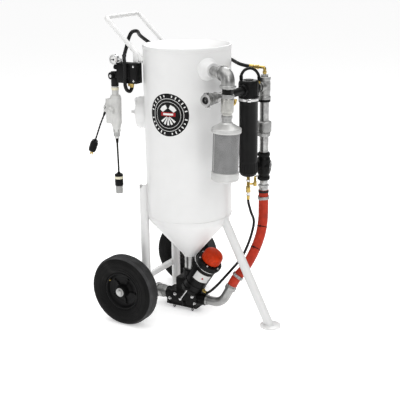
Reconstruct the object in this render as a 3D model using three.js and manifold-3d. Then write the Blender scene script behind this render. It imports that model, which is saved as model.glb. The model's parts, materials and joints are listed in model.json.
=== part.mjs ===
// Portable abrasive blast pot: a white steel pressure vessel with a concave filling head and a conical
// bottom, on a frame of two wheels and one front leg.  A metering valve hangs under the cone, an air
// filter and pusher line stand at the front, and a pneumatic control group hangs at the rear.
//
// Frame used while building: millimetres, +Z up, Z = 0 on the floor, vessel axis at X = Y = 0.
// -Y is the front (leg side), +Y is the rear (wheel and handle side), +X and -X are the wheel sides.
// At the end the whole group is moved so that its own box is centred over the origin.

import * as THREE from 'three';
import { mergeVertices } from 'three/addons/utils/BufferGeometryUtils.js';
import Module from 'manifold-3d';

const wasm = await Module();
wasm.setup();

// a place on the floor plan: degrees from the front (-Y) towards +X, and the distance out from the shell
function standing(bearing, standOff) {
  const angle = THREE.MathUtils.degToRad(bearing);
  const reach = vesselRadius + standOff;
  return [reach * Math.sin(angle), -reach * Math.cos(angle)];
}

// ---------------------------------------------------------------- driving dimensions

const gap = 0.3;                      // running gap kept between touching pieces
const vesselSides = 36;               // facets round the vessel

// vessel
const vesselRadius = 228.6;           // 18 inch shell
const vesselWall = 5;
const seamHeight = 573;               // where the shell meets the cone
const rimHeight = 1474;               // top of the filling head's rim
const rimBand = 19;                   // height of the head's skirt
const rimProud = 1.5;
const dishDepth = 58;
const portRadius = 31;                // filling port in the head
const coneKneeRadius = vesselRadius - 14.6;   // where the knuckle ends and the straight cone starts
const coneKneeDrop = 40;
const outletRadius = 36;
const outletHeight = 322;             // lower end of the cone

// pop-up filling valve
const gasketInnerRadius = 28;
const gasketHeight = 12;
const plungerRadius = 38;
const plungerConeHeight = 28;
const plungerTravel = 24;
const plungerStemLength = 100;
const guideRodRadius = 12.4;
const guideClearance = 0.6;

// handway
const handwayHeight = 1110;
const handwayTurn = 16;               // degrees from +Y towards -X
const handwayRadius = 84;
const handwayWall = 10;
const handwayProud = 38;              // how far its ring stands out of the shell
const studRadius = 8;

// frame
const [uprightX, uprightY] = standing(140.79, 16.6);
const uprightRadius = 24.15;
const uprightWall = 3.2;
const uprightTop = 742;
const uprightFoot = 20;
const axleRadius = 12.5;
const axleY = uprightY + 24;
const crossTubeRadius = axleRadius + 6;       // the tube round the axle between the uprights
const legRadius = 24.15;
const legFootY = -(vesselRadius + 261.4);
const legTopY = -(vesselRadius - 25.6);
const footRadius = 56;
const footThickness = 8;
const handleTubeRadius = 12.5;
const handleHalfWidth = 152;
const handleY = vesselRadius + 167.4;
const handleHeight = 1606;
const handleRootY = vesselRadius - 74.6;      // inside the shell, where the arms are coped off
const handleRootHeight = 1380;
const handleCornerRadius = 26;

// wheels
const wheelRadius = 192;
const wheelWidth = 92;
const wheelFace = 373;                // outer face of each wheel, from the middle plane
const wheelSides = 28;
const rimRadius = 104;
const hubRadius = 31;
const hubLength = 100;

// metering valve
const runHeight = 72;                 // centre of the blast pipe that runs front to back
const runRadius = 30;
const runFront = -98;
const runRear = 150;
const barrelSlope = 56;               // degrees above the horizontal
const barrelRootY = 33;
const barrelRadius = 62;
const barrelStart = 60;
const barrelEnd = 258;
const bonnetRadius = 73;
const bonnetLength = 30;
const knobRadius = 55;
const knobLength = 65;
const nippleRadius = 30.2;
const nippleBottom = 242;

// piping
const pipeRadius = 24;
const hoseRadius = 27;
const [exhaustX, exhaustY] = standing(-32.258, 204.204);
const exhaustHeight = 1370;
const exhaustLean = 2;                // degrees that the silencer line leans away from plumb
const nozzleRadius = pipeRadius + 14;
const nozzleProud = 60;
const mufflerRadius = 65;
const mufflerCapRadius = 73;
const [filterX, filterY] = standing(15.534, 96.266);
const portHeight = 1250;              // height of the filter's ports
const filterHeadRadius = 53;
const filterHeadTop = 1296;
const filterBowlRadius = 48.5;
const filterBowlBottom = 790;
const [stackX, stackY] = standing(30.964, 173.736);

// rear control group
const controlX = -165;
const blockBottom = 1280;
const blockTop = 1382;
const blockThickness = 55;
const blockInnerX = Math.abs(controlX) - blockThickness / 2;
const blockFrontY = Math.sqrt((vesselRadius + 5.93) ** 2 - blockInnerX ** 2);   // just clear of the shell
const blockRearY = blockFrontY + 122;
const gaugeRadius = 26;
const gaugeY = blockRearY + 27;
const gaugeHeight = 1395;
const conduitY = blockRearY + 32;

// ---------------------------------------------------------------- finishes

function finish(color, roughness, metalness) {
  return { color, roughness, metalness };
}
const white = finish(0xe9e9e6, 0.35, 0.0);
const galvanised = finish(0xb9bab6, 0.45, 0.8);
const black = finish(0x161616, 0.5, 0.1);
const rubber = finish(0x1b1b1b, 0.9, 0.0);
const brass = finish(0xb9a04a, 0.35, 0.9);
const orange = finish(0xe8501c, 0.5, 0.0);
const redHose = finish(0xd2402c, 0.6, 0.0);
const castGrey = finish(0xc9cac6, 0.55, 0.3);
const chrome = finish(0xd8d8d8, 0.15, 1.0);
const paper = finish(0xf2efe4, 0.8, 0.0);

// ---------------------------------------------------------------- solid helpers

const blastPot = new THREE.Group();

function point(x, y, z) {
  return new THREE.Vector3(x, y, z);
}

// merged, index-only copy with no collapsed triangles and with its faces pointing out
function cleaned(geometry) {
  let bare = geometry.clone();
  bare.deleteAttribute('normal');
  bare.deleteAttribute('uv');
  bare = mergeVertices(bare, 1e-3);
  const kept = [];
  const index = bare.index.array;
  const spot = bare.attributes.position;
  let volume = 0;
  for (let i = 0; i < index.length; i += 3) {
    const [a, b, c] = [index[i], index[i + 1], index[i + 2]];
    if (a === b || b === c || c === a) continue;
    kept.push(a, b, c);
    const corner = [a, b, c].map((n) => new THREE.Vector3().fromBufferAttribute(spot, n));
    volume += corner[0].dot(corner[1].cross(corner[2]));
  }
  bare.setIndex(volume < 0 ? kept.reverse() : kept);
  return bare;
}

function toSolid(geometry) {
  const bare = cleaned(geometry);
  return new wasm.Manifold(new wasm.Mesh({
    numProp: 3,
    vertProperties: new Float32Array(bare.attributes.position.array),
    triVerts: new Uint32Array(bare.index.array),
  }));
}

function toGeometry(solid) {
  const mesh = solid.getMesh();
  const geometry = new THREE.BufferGeometry();
  geometry.setAttribute('position', new THREE.BufferAttribute(new Float32Array(mesh.vertProperties), 3));
  geometry.setIndex(new THREE.BufferAttribute(new Uint32Array(mesh.triVerts), 1));
  return geometry;
}

function join(...pieces) {
  return toGeometry(pieces.map(toSolid).reduce((sum, next) => sum.add(next)));
}

function cut(piece, ...tools) {
  return toGeometry(tools.map(toSolid).reduce((rest, tool) => rest.subtract(tool), toSolid(piece)));
}

// a closed [radius, height] outline turned about +Z
function turned(outline, sides = 24) {
  const points = outline.map(([radius, height]) => new THREE.Vector2(radius, height));
  const closed = outline[0][0] === 0 && outline[outline.length - 1][0] === 0;
  if (!closed) points.push(points[0].clone());
  return new THREE.LatheGeometry(points, sides).rotateX(Math.PI / 2);
}

function rod(radius, low, high, sides = 16) {
  return turned([[0, low], [radius, low], [radius, high], [0, high]], sides);
}

function pipe(outer, inner, low, high, sides = 24) {
  return turned([[inner, low], [outer, low], [outer, high], [inner, high]], sides);
}

// a stepped round bar: [[radius, length], ...] stacked up from a start height
function stepped(steps, start = 0, sides = 16) {
  const outline = [[0, start]];
  let height = start;
  for (const [radius, length] of steps) {
    outline.push([radius, height]);
    height += length;
    outline.push([radius, height]);
  }
  outline.push([0, height]);
  return turned(outline, sides);
}

function slab(x0, x1, y0, y1, z0, z1) {
  const box = new THREE.BoxGeometry(x1 - x0, y1 - y0, z1 - z0);
  return box.translate((x0 + x1) / 2, (y0 + y1) / 2, (z0 + z1) / 2);
}

// turns a piece built along +Z so that it points along a direction from a start point
function aimed(geometry, start, direction) {
  const turn = new THREE.Quaternion();
  turn.setFromUnitVectors(point(0, 0, 1), direction.clone().normalize());
  return geometry.clone().applyQuaternion(turn).translate(start.x, start.y, start.z);
}

function between(start, end, radius, sides = 16) {
  return aimed(rod(radius, 0, start.distanceTo(end), sides), start, end.clone().sub(start));
}

function roundSection(radius, sides) {
  const corners = [];
  for (let i = 0; i < sides; i += 1) {
    const angle = (2 * Math.PI * i) / sides;
    corners.push(new THREE.Vector2(radius * Math.cos(angle), radius * Math.sin(angle)));
  }
  return new THREE.Shape(corners);
}

// a round bar or tube swept along a curve
function swept(curve, radius, sides, steps, innerRadius = 0) {
  const section = roundSection(radius, sides);
  if (innerRadius > 0) section.holes.push(roundSection(innerRadius, sides));
  return new THREE.ExtrudeGeometry(section, { steps, extrudePath: curve, curveSegments: 1 });
}

// straight runs joined by rounded corners, as an evenly usable curve
function bentPath(corners, bendRadius) {
  const path = new THREE.CurvePath();
  let last = corners[0];
  for (let i = 1; i < corners.length - 1; i += 1) {
    const before = corners[i - 1].clone().sub(corners[i]).normalize();
    const after = corners[i + 1].clone().sub(corners[i]).normalize();
    const enter = corners[i].clone().addScaledVector(before, bendRadius);
    const leave = corners[i].clone().addScaledVector(after, bendRadius);
    path.add(new THREE.LineCurve3(last, enter));
    path.add(new THREE.QuadraticBezierCurve3(enter, corners[i], leave));
    last = leave;
  }
  path.add(new THREE.LineCurve3(last, corners[corners.length - 1]));
  return path;
}

// a bent bar whose path points fall exactly on the bends' ends
function bentBar(corners, bendRadius, radius, sides, bendSteps = 6, innerRadius = 0) {
  const path = bentPath(corners, bendRadius);
  const stops = [];
  path.curves.forEach((curve) => {
    const count = curve.isLineCurve3 ? 1 : bendSteps;
    for (let i = 0; i < count; i += 1) stops.push(curve.getPoint(i / count));
  });
  stops.push(corners[corners.length - 1]);
  const rail = new THREE.CurvePath();
  for (let i = 1; i < stops.length; i += 1) rail.add(new THREE.LineCurve3(stops[i - 1], stops[i]));
  rail.getPointAt = (u) => {
    const place = u * (stops.length - 1);
    const low = Math.min(Math.floor(place), stops.length - 2);
    return stops[low].clone().lerp(stops[low + 1], place - low);
  };
  rail.getSpacedPoints = () => stops;
  rail.getTangentAt = (u) => {
    const place = Math.round(u * (stops.length - 1));
    const behind = stops[Math.max(place - 1, 0)];
    const ahead = stops[Math.min(place + 1, stops.length - 1)];
    return ahead.clone().sub(behind).normalize();
  };
  return swept(rail, radius, sides, stops.length - 1, innerRadius);
}

function hose(points, radius, sides, steps) {
  return swept(new THREE.CatmullRomCurve3(points, false, 'centripetal'), radius, sides, steps);
}

function add(name, geometry, look, parent = blastPot) {
  const shape = cleaned(geometry);
  shape.computeVertexNormals();
  const mesh = new THREE.Mesh(shape, new THREE.MeshStandardMaterial(look));
  mesh.name = name;
  parent.add(mesh);
  return mesh;
}

function flatDirection(degrees) {
  const angle = THREE.MathUtils.degToRad(degrees);
  return point(-Math.sin(angle), Math.cos(angle), 0);
}

// ---------------------------------------------------------------- vessel outlines

// outside of the cone from the seam down to the outlet, grown by a margin
function coneOutline(margin) {
  return [
    [vesselRadius + margin, seamHeight],
    [vesselRadius - 4 + margin, seamHeight - coneKneeDrop * 0.55],
    [coneKneeRadius + margin, seamHeight - coneKneeDrop],
    [outletRadius + margin, outletHeight],
  ];
}

// the whole outer body of the vessel, used to cope what is welded to it
function vesselEnvelope() {
  const cone = coneOutline(gap);
  return turned([
    [0, rimHeight],
    [vesselRadius + gap, rimHeight],
    ...cone,
    [0, outletHeight],
  ], vesselSides);
}

// ---------------------------------------------------------------- vessel

const exhaustDirection = point(exhaustX, exhaustY, 0).normalize();
const exhaustReach = Math.hypot(exhaustX, exhaustY);
const exhaustStart = point(0, 0, exhaustHeight);
const handwayDirection = flatDirection(handwayTurn);
const handwayCentre = point(0, 0, handwayHeight);
const handwayFace = vesselRadius + handwayProud;

const nozzleEnd = vesselRadius + nozzleProud;

// welded half coupling with its weld flare, solid until its bore is cut
function exhaustNozzle() {
  return aimed(turned([
    [0, vesselRadius - 12],
    [nozzleRadius, vesselRadius - 12],
    [nozzleRadius, vesselRadius - 5],
    [nozzleRadius + 13, vesselRadius - 5],
    [nozzleRadius + 13, vesselRadius + 2],
    [nozzleRadius + 2, vesselRadius + 14],
    [nozzleRadius, nozzleEnd],
    [0, nozzleEnd],
  ], 28), exhaustStart, exhaustDirection);
}

function nozzleBore() {
  const boreRadius = pipeRadius / Math.cos(Math.PI / 20) + gap;
  const bore = rod(boreRadius, vesselRadius - 20, nozzleEnd + 5, 20);
  return aimed(bore, exhaustStart, exhaustDirection);
}

function buildVessel() {
  const shellTop = rimHeight - rimBand - gap;
  const shell = pipe(vesselRadius, vesselRadius - vesselWall, seamHeight, shellTop, vesselSides);
  const handwayHole = aimed(rod(handwayRadius + gap, vesselRadius - 80, vesselRadius + 32, 28),
    handwayCentre, handwayDirection);
  add('vessel_shell', cut(join(shell, exhaustNozzle()), handwayHole, nozzleBore()), white);

  const dishRadius = vesselRadius - vesselWall;
  const dishTop = (radius) => rimHeight - dishDepth * (1 - (radius / dishRadius) ** 2);
  const steps = 4;
  const upper = [];
  const lower = [];
  for (let i = 0; i <= steps; i += 1) {
    const radius = dishRadius + ((portRadius - dishRadius) * i) / steps;
    upper.push([radius, dishTop(radius)]);
    lower.unshift([radius, dishTop(radius) - vesselWall]);
  }
  add('top_head', turned([
    [vesselRadius + rimProud, rimHeight - rimBand],
    [vesselRadius + rimProud, rimHeight],
    ...upper,
    ...lower,
    [dishRadius, rimHeight - rimBand],
  ], vesselSides), white);

  const outer = coneOutline(0);
  const inner = outer.map(([radius, height]) => [radius - vesselWall * 1.2, height]).reverse();
  outer[0] = [vesselRadius, seamHeight - gap];
  inner[inner.length - 1] = [vesselRadius - vesselWall * 1.2, seamHeight - gap];
  add('bottom_cone', turned([...outer, ...inner], vesselSides), white);
}

const gasketTop = rimHeight - dishDepth - vesselWall - gap;
const plungerBase = gasketTop - gasketHeight - plungerConeHeight * (1 - gasketInnerRadius / plungerRadius)
  - gap - plungerTravel;

function buildPopUpValve() {
  add('popup_gasket', pipe(portRadius + 9, gasketInnerRadius, gasketTop - gasketHeight, gasketTop), rubber);

  const bore = guideRodRadius + guideClearance;
  add('popup_plunger', turned([
    [0, plungerBase + plungerConeHeight],
    [plungerRadius, plungerBase],
    [plungerRadius, plungerBase - 6],
    [bore + 4, plungerBase - 14],
    [bore + 4, plungerBase - plungerStemLength],
    [bore, plungerBase - plungerStemLength],
    [bore, plungerBase - 10],
    [0, plungerBase - 10],
  ], 32), rubber);

  const capHeight = plungerBase - plungerStemLength - 6;
  const dropRadius = 130;
  const lowRun = capHeight - 60;
  const inside = (reach, height) => exhaustDirection.clone().multiplyScalar(reach).setZ(height);
  const riser = bentBar([
    inside(vesselRadius - 14, exhaustHeight),
    inside(dropRadius, exhaustHeight),
    inside(dropRadius, lowRun),
    inside(0, lowRun),
    inside(0, capHeight),
  ], 34, pipeRadius - 3, 10, 3);
  const guide = rod(guideRodRadius, capHeight - 5, plungerBase - 16);
  add('popup_guide_pipe', join(riser, guide), galvanised);
}

function buildHandway() {
  const along = (geometry) => aimed(geometry, handwayCentre, handwayDirection);
  const innerEnd = vesselRadius - 28;
  const gasketDepth = 4;
  const coverDepth = 6;
  const coverRadius = handwayRadius - 3;
  const ring = pipe(handwayRadius, handwayRadius - handwayWall, innerEnd, handwayFace, 28);
  add('handway_ring', along(ring), white);
  const gasketStart = innerEnd - gap - gasketDepth;
  add('handway_gasket',
    along(pipe(coverRadius, handwayRadius - handwayWall - 6, gasketStart, innerEnd - gap, 28)), rubber);
  const coverFace = gasketStart - gap;
  const cover = join(
    rod(coverRadius, coverFace - coverDepth, coverFace, 28),
    rod(studRadius, coverFace - 1, handwayFace + 44, 16),
  );
  add('handway_cover', along(cover), white);

  const yokeBottom = handwayFace + gap;
  const yokeDepth = 14;
  const yokeHalf = handwayRadius - 2;
  const yoke = cut(
    slab(-13, 13, -yokeHalf, yokeHalf, yokeBottom, yokeBottom + yokeDepth),
    rod(studRadius + gap, yokeBottom - 1, yokeBottom + yokeDepth + 1, 16),
  );
  add('handway_yoke', along(yoke), white);
  const nutBottom = yokeBottom + yokeDepth + gap;
  const nut = cut(
    rod(15, nutBottom, nutBottom + 15, 6),
    rod(studRadius + gap, nutBottom - 1, nutBottom + 16, 16),
  );
  add('handway_nut', along(nut), white);
}

// ---------------------------------------------------------------- frame

const axleHeight = wheelRadius;

function buildFrame() {
  const envelope = vesselEnvelope();
  const axleHole = aimed(rod(axleRadius + gap, -400, 400, 16), point(0, axleY, axleHeight), point(1, 0, 0));
  for (const [name, side] of [['near_upright', -1], ['far_upright', 1]]) {
    const tube = pipe(uprightRadius, uprightRadius - uprightWall, uprightFoot, uprightTop, 24);
    tube.translate(side * uprightX, uprightY, 0);
    const bevel = slab(-60, 60, 0, 90, 0, 120);
    bevel.rotateX(THREE.MathUtils.degToRad(38));
    bevel.translate(side * uprightX, uprightY + 4, uprightTop - 22);
    add(name, cut(tube, envelope, axleHole, bevel), white);
  }

  const crossReach = uprightX - 2;
  const crossTube = aimed(
    pipe(crossTubeRadius, axleRadius + gap, -crossReach, crossReach, 16),
    point(0, axleY, axleHeight), point(1, 0, 0));
  const cope = (side) => rod(uprightRadius + gap, 0, uprightTop, 24).translate(side * uprightX, uprightY, 0);
  add('cross_tube', cut(crossTube, cope(-1), cope(1)), white);

  const axleReach = wheelFace + 14;
  const axle = rod(axleRadius, -axleReach, axleReach, 16);
  add('axle', aimed(axle, point(0, axleY, axleHeight), point(1, 0, 0)), galvanised);

  const legFoot = point(0, legFootY, 0);
  const legTop = point(0, legTopY, seamHeight + 10);
  const legDirection = legTop.clone().sub(legFoot);
  const legTube = aimed(
    pipe(legRadius, legRadius - uprightWall, -20, legDirection.length(), 24), legFoot, legDirection);
  const floorCut = slab(-90, 90, legFootY - 90, legFootY + 90, -60, footThickness - 1);
  const footPad = rod(footRadius, 0, footThickness, 32).translate(0, legFootY - 3, 0);
  add('front_leg', join(cut(legTube, envelope, floorCut), footPad), white);

  const handle = bentBar([
    point(-handleHalfWidth, handleRootY, handleRootHeight),
    point(-handleHalfWidth, handleY, handleHeight),
    point(handleHalfWidth, handleY, handleHeight),
    point(handleHalfWidth, handleRootY, handleRootHeight),
  ], handleCornerRadius, handleTubeRadius, 12, 5);
  const plate = 6;
  const plateSide = -handleHalfWidth - handleTubeRadius + 2;
  const plateFront = blockFrontY + 2;
  const plateRear = blockFrontY + 32;
  const bracket = join(
    slab(plateSide - plate, plateSide, plateFront, plateRear, blockTop + gap, 1437),
    slab(plateSide - plate, plateSide + 32, plateFront, plateRear, blockTop + gap, blockTop + gap + plate),
  );
  add('push_handle', join(cut(handle, envelope), bracket), white);
}

// ---------------------------------------------------------------- wheels

function buildWheel(prefix, side) {
  const half = wheelWidth / 2;
  const centre = point(side * (wheelFace - half), axleY, axleHeight);
  const out = point(side, 0, 0);
  const tread = [
    [rimRadius, -half + 13],
    [rimRadius + 24, -half + 3],
    [wheelRadius - 36, -half],
    [wheelRadius - 10, -half + 8],
    [wheelRadius, -half + 26],
  ];
  const mirrored = tread.map(([radius, height]) => [radius, -height]).reverse();
  add(`${prefix}_tyre`, aimed(turned([...tread, ...mirrored], wheelSides), centre, out), rubber);

  const bore = axleRadius + 0.4;
  const edge = rimRadius - gap;
  const web = [
    [bore, -hubLength / 2],
    [hubRadius, -hubLength / 2],
    [hubRadius + 6, -12],
    [edge - 14, -10],
    [edge - 6, -half + 13],
    [edge, -half + 13],
  ];
  const webMirrored = web.map(([radius, height]) => [radius, -height]).reverse();
  add(`${prefix}_rim`, aimed(turned([...web, ...webMirrored], wheelSides), centre, out), black);
}

// ---------------------------------------------------------------- metering valve

const barrelAngle = THREE.MathUtils.degToRad(barrelSlope);
const barrelDirection = point(0, -Math.cos(barrelAngle), Math.sin(barrelAngle));
const barrelRoot = point(0, barrelRootY, runHeight);
const plateDrop = 40;
const signalAim = point(0, -Math.sin(barrelAngle), -Math.cos(barrelAngle));
const signalPort = barrelRoot.clone().addScaledVector(barrelDirection, 110)
  .addScaledVector(signalAim, barrelRadius);

function buildMeteringValve() {
  const alongBarrel = (geometry) => aimed(geometry, barrelRoot, barrelDirection);
  const alongRun = (geometry) => aimed(geometry, point(0, 0, runHeight), point(0, 1, 0));

  const nipple = pipe(nippleRadius, nippleRadius - 4, nippleBottom, outletHeight - gap, 24);
  add('outlet_nipple', nipple, galvanised);

  const neck = rod(nippleRadius + 10, 150, nippleBottom - gap, 24);
  const run = alongRun(rod(runRadius, runFront, runRear, 24));
  const lobe = slab(-42, 42, -58, 132, runHeight - plateDrop, runHeight + 34);
  const shoulder = slab(-40, 40, -40, 70, 90, 190);
  const barrel = alongBarrel(rod(barrelRadius, barrelStart, barrelEnd, 24));
  const seatBore = alongBarrel(rod(34, 92, barrelEnd + 5, 24));
  const media = rod(nippleRadius - 4, 120, nippleBottom + 5, 20);
  const airBore = alongRun(rod(runRadius - 8, runFront - 5, runRear + 5, 20));
  const nippleRoom = rod(nippleRadius + gap, nippleBottom - gap, outletHeight, 24);
  const casting = join(neck, run, lobe, shoulder, barrel);
  add('metering_body', cut(casting, nippleRoom, seatBore, media, airBore), black);

  const plateTop = runHeight - plateDrop - gap;
  add('cleanout_plate', slab(-44, 44, -60, 134, plateTop - 10, plateTop), black);

  const bonnetStart = barrelEnd + gap;
  const bonnetEnd = bonnetStart + bonnetLength;
  add('metering_bonnet', alongBarrel(pipe(bonnetRadius, 14, bonnetStart, bonnetEnd, 24)), black);

  const knobStart = bonnetEnd + gap;
  const knob = turned([
    [0, knobStart],
    [knobRadius, knobStart],
    [knobRadius, knobStart + knobLength * 0.6],
    [knobRadius * 0.86, knobStart + knobLength * 0.86],
    [knobRadius * 0.5, knobStart + knobLength],
    [0, knobStart + knobLength],
  ], 24);
  add('metering_knob', alongBarrel(knob), orange);

  const plungerStart = 112;
  add('metering_plunger', alongBarrel(stepped([[30, 34], [12, bonnetEnd - gap - plungerStart - 34 - 22]],
    plungerStart, 24)), galvanised);
  add('metering_spring', alongBarrel(pipe(24, 14, plungerStart + 34 + gap + 18, bonnetStart - 4, 20)),
    chrome);

  const leverFoot = point(-42 - gap, 25, runHeight + 6);
  const leverReach = 34;
  const spindle = aimed(rod(8, 0, leverReach, 12), leverFoot, point(-1, 0, 0));
  const handle = between(leverFoot.clone().add(point(6 - leverReach, 0, 0)),
    leverFoot.clone().add(point(6 - leverReach, -46, 66)), 4.5, 10);
  add('cleanout_lever', join(spindle, handle), chrome);
}

function buildBlastCoupling() {
  const start = runRear + gap;
  const body = aimed(stepped([[30, 22], [37, 24], [31, 12], [41, 16]], start, 18),
    point(0, 0, runHeight), point(0, 1, 0));
  const bore = aimed(rod(20, start - 5, start + 90, 14), point(0, 0, runHeight), point(0, 1, 0));
  const lugs = [-1, 1].map((side) => slab(side * 40 - 9, side * 40 + 9, start + 60, start + 86,
    runHeight - 12, runHeight + 12));
  add('blast_hose_coupling', cut(join(body, ...lugs), bore), galvanised);
}

// ---------------------------------------------------------------- pusher line

const elbowCorner = point(0, -196, runHeight);
const elbowEnd = point(24, -250, 182);
const elbowAim = elbowEnd.clone().sub(elbowCorner).normalize();

// a point on the way from the elbow to the stack: shares of the way sideways and forwards, and a height
function towardStack(sideways, forwards, height) {
  const x = THREE.MathUtils.lerp(elbowEnd.x, stackX, sideways);
  const y = THREE.MathUtils.lerp(elbowEnd.y, stackY, forwards);
  return point(x, y, height);
}

const hosePoints = [
  elbowEnd.clone(),
  elbowEnd.clone().addScaledVector(elbowAim, 40),
  point(62, -303, 272),
  point(92, -322, 318),
  towardStack(0.601, 0.937, 382),
  towardStack(0.831, 1.01, 450),
  towardStack(0.967, 1.01, 520),
  towardStack(1, 1, 590),
  towardStack(1, 1, 650),
  towardStack(1, 1, 688),
];
const brassElbowHeight = 1347;
const brassElbowEnd = point(stackX - 17, stackY + 55, brassElbowHeight + 4);
const stackToFilter = point(filterX - stackX, filterY - stackY, 0);
const linkHoseEnd = point(stackX, stackY, 1282).addScaledVector(stackToFilter.clone().normalize(), 46);
const valveBottom = 744;
const valveTop = 898;

function buildPusherLine() {
  const elbowPath = [
    point(0, runFront - gap, runHeight),
    elbowCorner,
    elbowEnd.clone().addScaledVector(elbowAim, -gap),
  ];
  const elbow = bentBar(elbowPath, 46, 25, 14, 5);
  const collar = aimed(rod(30, -30, -8, 18), elbowEnd, elbowAim);
  add('inlet_elbow', join(elbow, collar), galvanised);
  add('pusher_hose', hose(hosePoints, hoseRadius, 12, 20), redHose);

  const clampRing = () => pipe(hoseRadius + 6.2, hoseRadius + 1.9, -9, 9, 16);
  const earCentre = hoseRadius + 11;
  const ear = (side) => slab(side * earCentre - 8, side * earCentre + 8, -7, 7, -8, 8);
  const clamp = join(clampRing(), ear(1), ear(-1));
  const hosed = new THREE.CatmullRomCurve3(hosePoints, false, 'centripetal');
  const lowAt = 60 / hosed.getLength();
  add('lower_hose_clamp', aimed(clamp, hosed.getPointAt(lowAt), hosed.getTangentAt(lowAt)), galvanised);
  const highAt = 0.925;
  add('upper_hose_clamp', aimed(clamp, hosed.getPointAt(highAt), hosed.getTangentAt(highAt)), galvanised);

  const at = (geometry) => geometry.translate(stackX, stackY, 0);
  const hoseTop = hosePoints[hosePoints.length - 1].z;
  add('hose_stem', at(stepped([[25, 18], [28, 12], [23, valveBottom - gap - hoseTop - gap - 30]],
    hoseTop + gap, 16)), galvanised);

  const flowDirection = flatDirection(15);
  const valveMiddle = point(0, 0, (valveBottom + valveTop) / 2);
  const valveBody = stepped([[30, 34], [35, 88], [30, valveTop - valveBottom - 122]], valveBottom, 18);
  const bonnet = aimed(rod(34, -38, 38, 16), valveMiddle, flowDirection);
  add('blast_air_valve', at(join(valveBody, bonnet)), black);

  const unionLow = 985;
  const unionHigh = 1063;
  const stackTop = 1181;
  add('stack_pipe', at(turned([
    [0, valveTop + gap],
    [pipeRadius, valveTop + gap],
    [pipeRadius, unionLow],
    [33, unionLow],
    [33, unionLow + 22],
    [39, unionLow + 26],
    [39, unionHigh],
    [28, unionHigh + 4],
    [pipeRadius, unionHigh + 4],
    [pipeRadius, stackTop],
    [0, stackTop],
  ], 20)), galvanised);

  const teeTop = 1300;
  const stackCentre = point(stackX, stackY, portHeight);
  const reach = stackToFilter.length() - filterHeadRadius - 12 - gap;
  const teeRun = at(stepped([[33, 14], [29, teeTop - stackTop - gap - 30], [32, 16]], stackTop + gap, 16));
  const branch = aimed(stepped([[27, 46], [21, reach - 46]], 0, 16), stackCentre, stackToFilter);
  const linkBoss = rod(9, portHeight + 10, linkHoseEnd.z - gap, 12);
  linkBoss.translate(linkHoseEnd.x, linkHoseEnd.y, 0);
  const riser = at(stepped([[18, 14], [9, brassElbowHeight - teeTop - 13]], teeTop - 1, 14));
  const armRoot = point(stackX, stackY, brassElbowHeight);
  const arm = between(armRoot, brassElbowEnd, 8, 12);
  const armNut = between(armRoot.clone().lerp(brassElbowEnd, 0.58),
    armRoot.clone().lerp(brassElbowEnd, 0.93), 12, 6);
  add('inlet_tee', join(teeRun, branch, linkBoss, riser, arm, armNut), galvanised);
}

// ---------------------------------------------------------------- air filter

const inletDirection = point(-1, 0.087, 0).normalize();

function buildFilter() {
  const headBottom = 1209;
  const centre = point(filterX, filterY, portHeight);
  const toStack = point(stackX, stackY, portHeight).sub(centre).normalize();
  const head = turned([
    [0, headBottom],
    [filterHeadRadius, headBottom],
    [filterHeadRadius, filterHeadTop - 8],
    [filterHeadRadius - 7, filterHeadTop],
    [0, filterHeadTop],
  ], 28).translate(filterX, filterY, 0);
  const port = (direction) => aimed(rod(29, 30, filterHeadRadius + 12, 16), centre, direction);
  add('filter_head', join(head, port(toStack), port(inletDirection)), black);

  const bowlTop = headBottom - gap;
  const wall = 3;
  add('filter_bowl', turned([
    [0, filterBowlBottom],
    [filterBowlRadius - 14, filterBowlBottom],
    [filterBowlRadius, filterBowlBottom + 18],
    [filterBowlRadius, bowlTop - 24],
    [filterHeadRadius - 1, bowlTop - 22],
    [filterHeadRadius - 1, bowlTop],
    [filterBowlRadius - wall, bowlTop],
    [filterBowlRadius - wall, filterBowlBottom + 20],
    [0, filterBowlBottom + 20],
  ], 28).translate(filterX, filterY, 0), black);
  const element = rod(29, filterBowlBottom + 70, bowlTop - 12, 20);
  add('filter_element', element.translate(filterX, filterY, 0), paper);

  const drainTop = filterBowlBottom - gap;
  const sideStep = point(0.5, -0.866, 0).multiplyScalar(36);
  const drainPost = stepped([[8, 22], [12, 26], [9, drainTop - controlHoseTop.z - gap - 48]],
    controlHoseTop.z + gap, 12);
  drainPost.translate(filterX, filterY, 0);
  const sidePost = stepped([[9, 24], [7, 20]], drainTop - 56, 12);
  sidePost.translate(filterX + sideStep.x, filterY + sideStep.y, 0);
  const bridgeHeight = drainTop - 44;
  const bridge = between(point(filterX, filterY, bridgeHeight),
    point(filterX + sideStep.x, filterY + sideStep.y, bridgeHeight), 6, 10);
  add('drain_fitting', join(drainPost, sidePost, bridge), brass);
  const leverRoot = point(filterX + sideStep.x, filterY + sideStep.y, drainTop - 12 + gap);
  const stem = rod(6, 0, 8, 10);
  const bar = slab(-4, 26, -4, 4, 4, 8);
  add('drain_lever', join(stem, bar).translate(leverRoot.x, leverRoot.y, leverRoot.z), brass);

  const inletLength = 392;
  const inletStart = filterHeadRadius + 12 + gap;
  const along = (geometry) => aimed(geometry, centre, inletDirection);
  const couplingStart = inletLength - 70;
  const coupling = join(
    along(stepped([[21, inletLength - 96 - inletStart], [27, 26], [24, 20], [30, 16], [26, 12], [29, 22]],
      inletStart, 16)),
    along(slab(-8, 8, 22, 42, couplingStart + 52, couplingStart + 74)),
    along(slab(-8, 8, -42, -22, couplingStart + 52, couplingStart + 74)),
  );
  add('air_inlet', cut(coupling, along(rod(18, couplingStart + 36, couplingStart + 80, 14))),
    galvanised);
}

// ---------------------------------------------------------------- exhaust line and silencer

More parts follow.
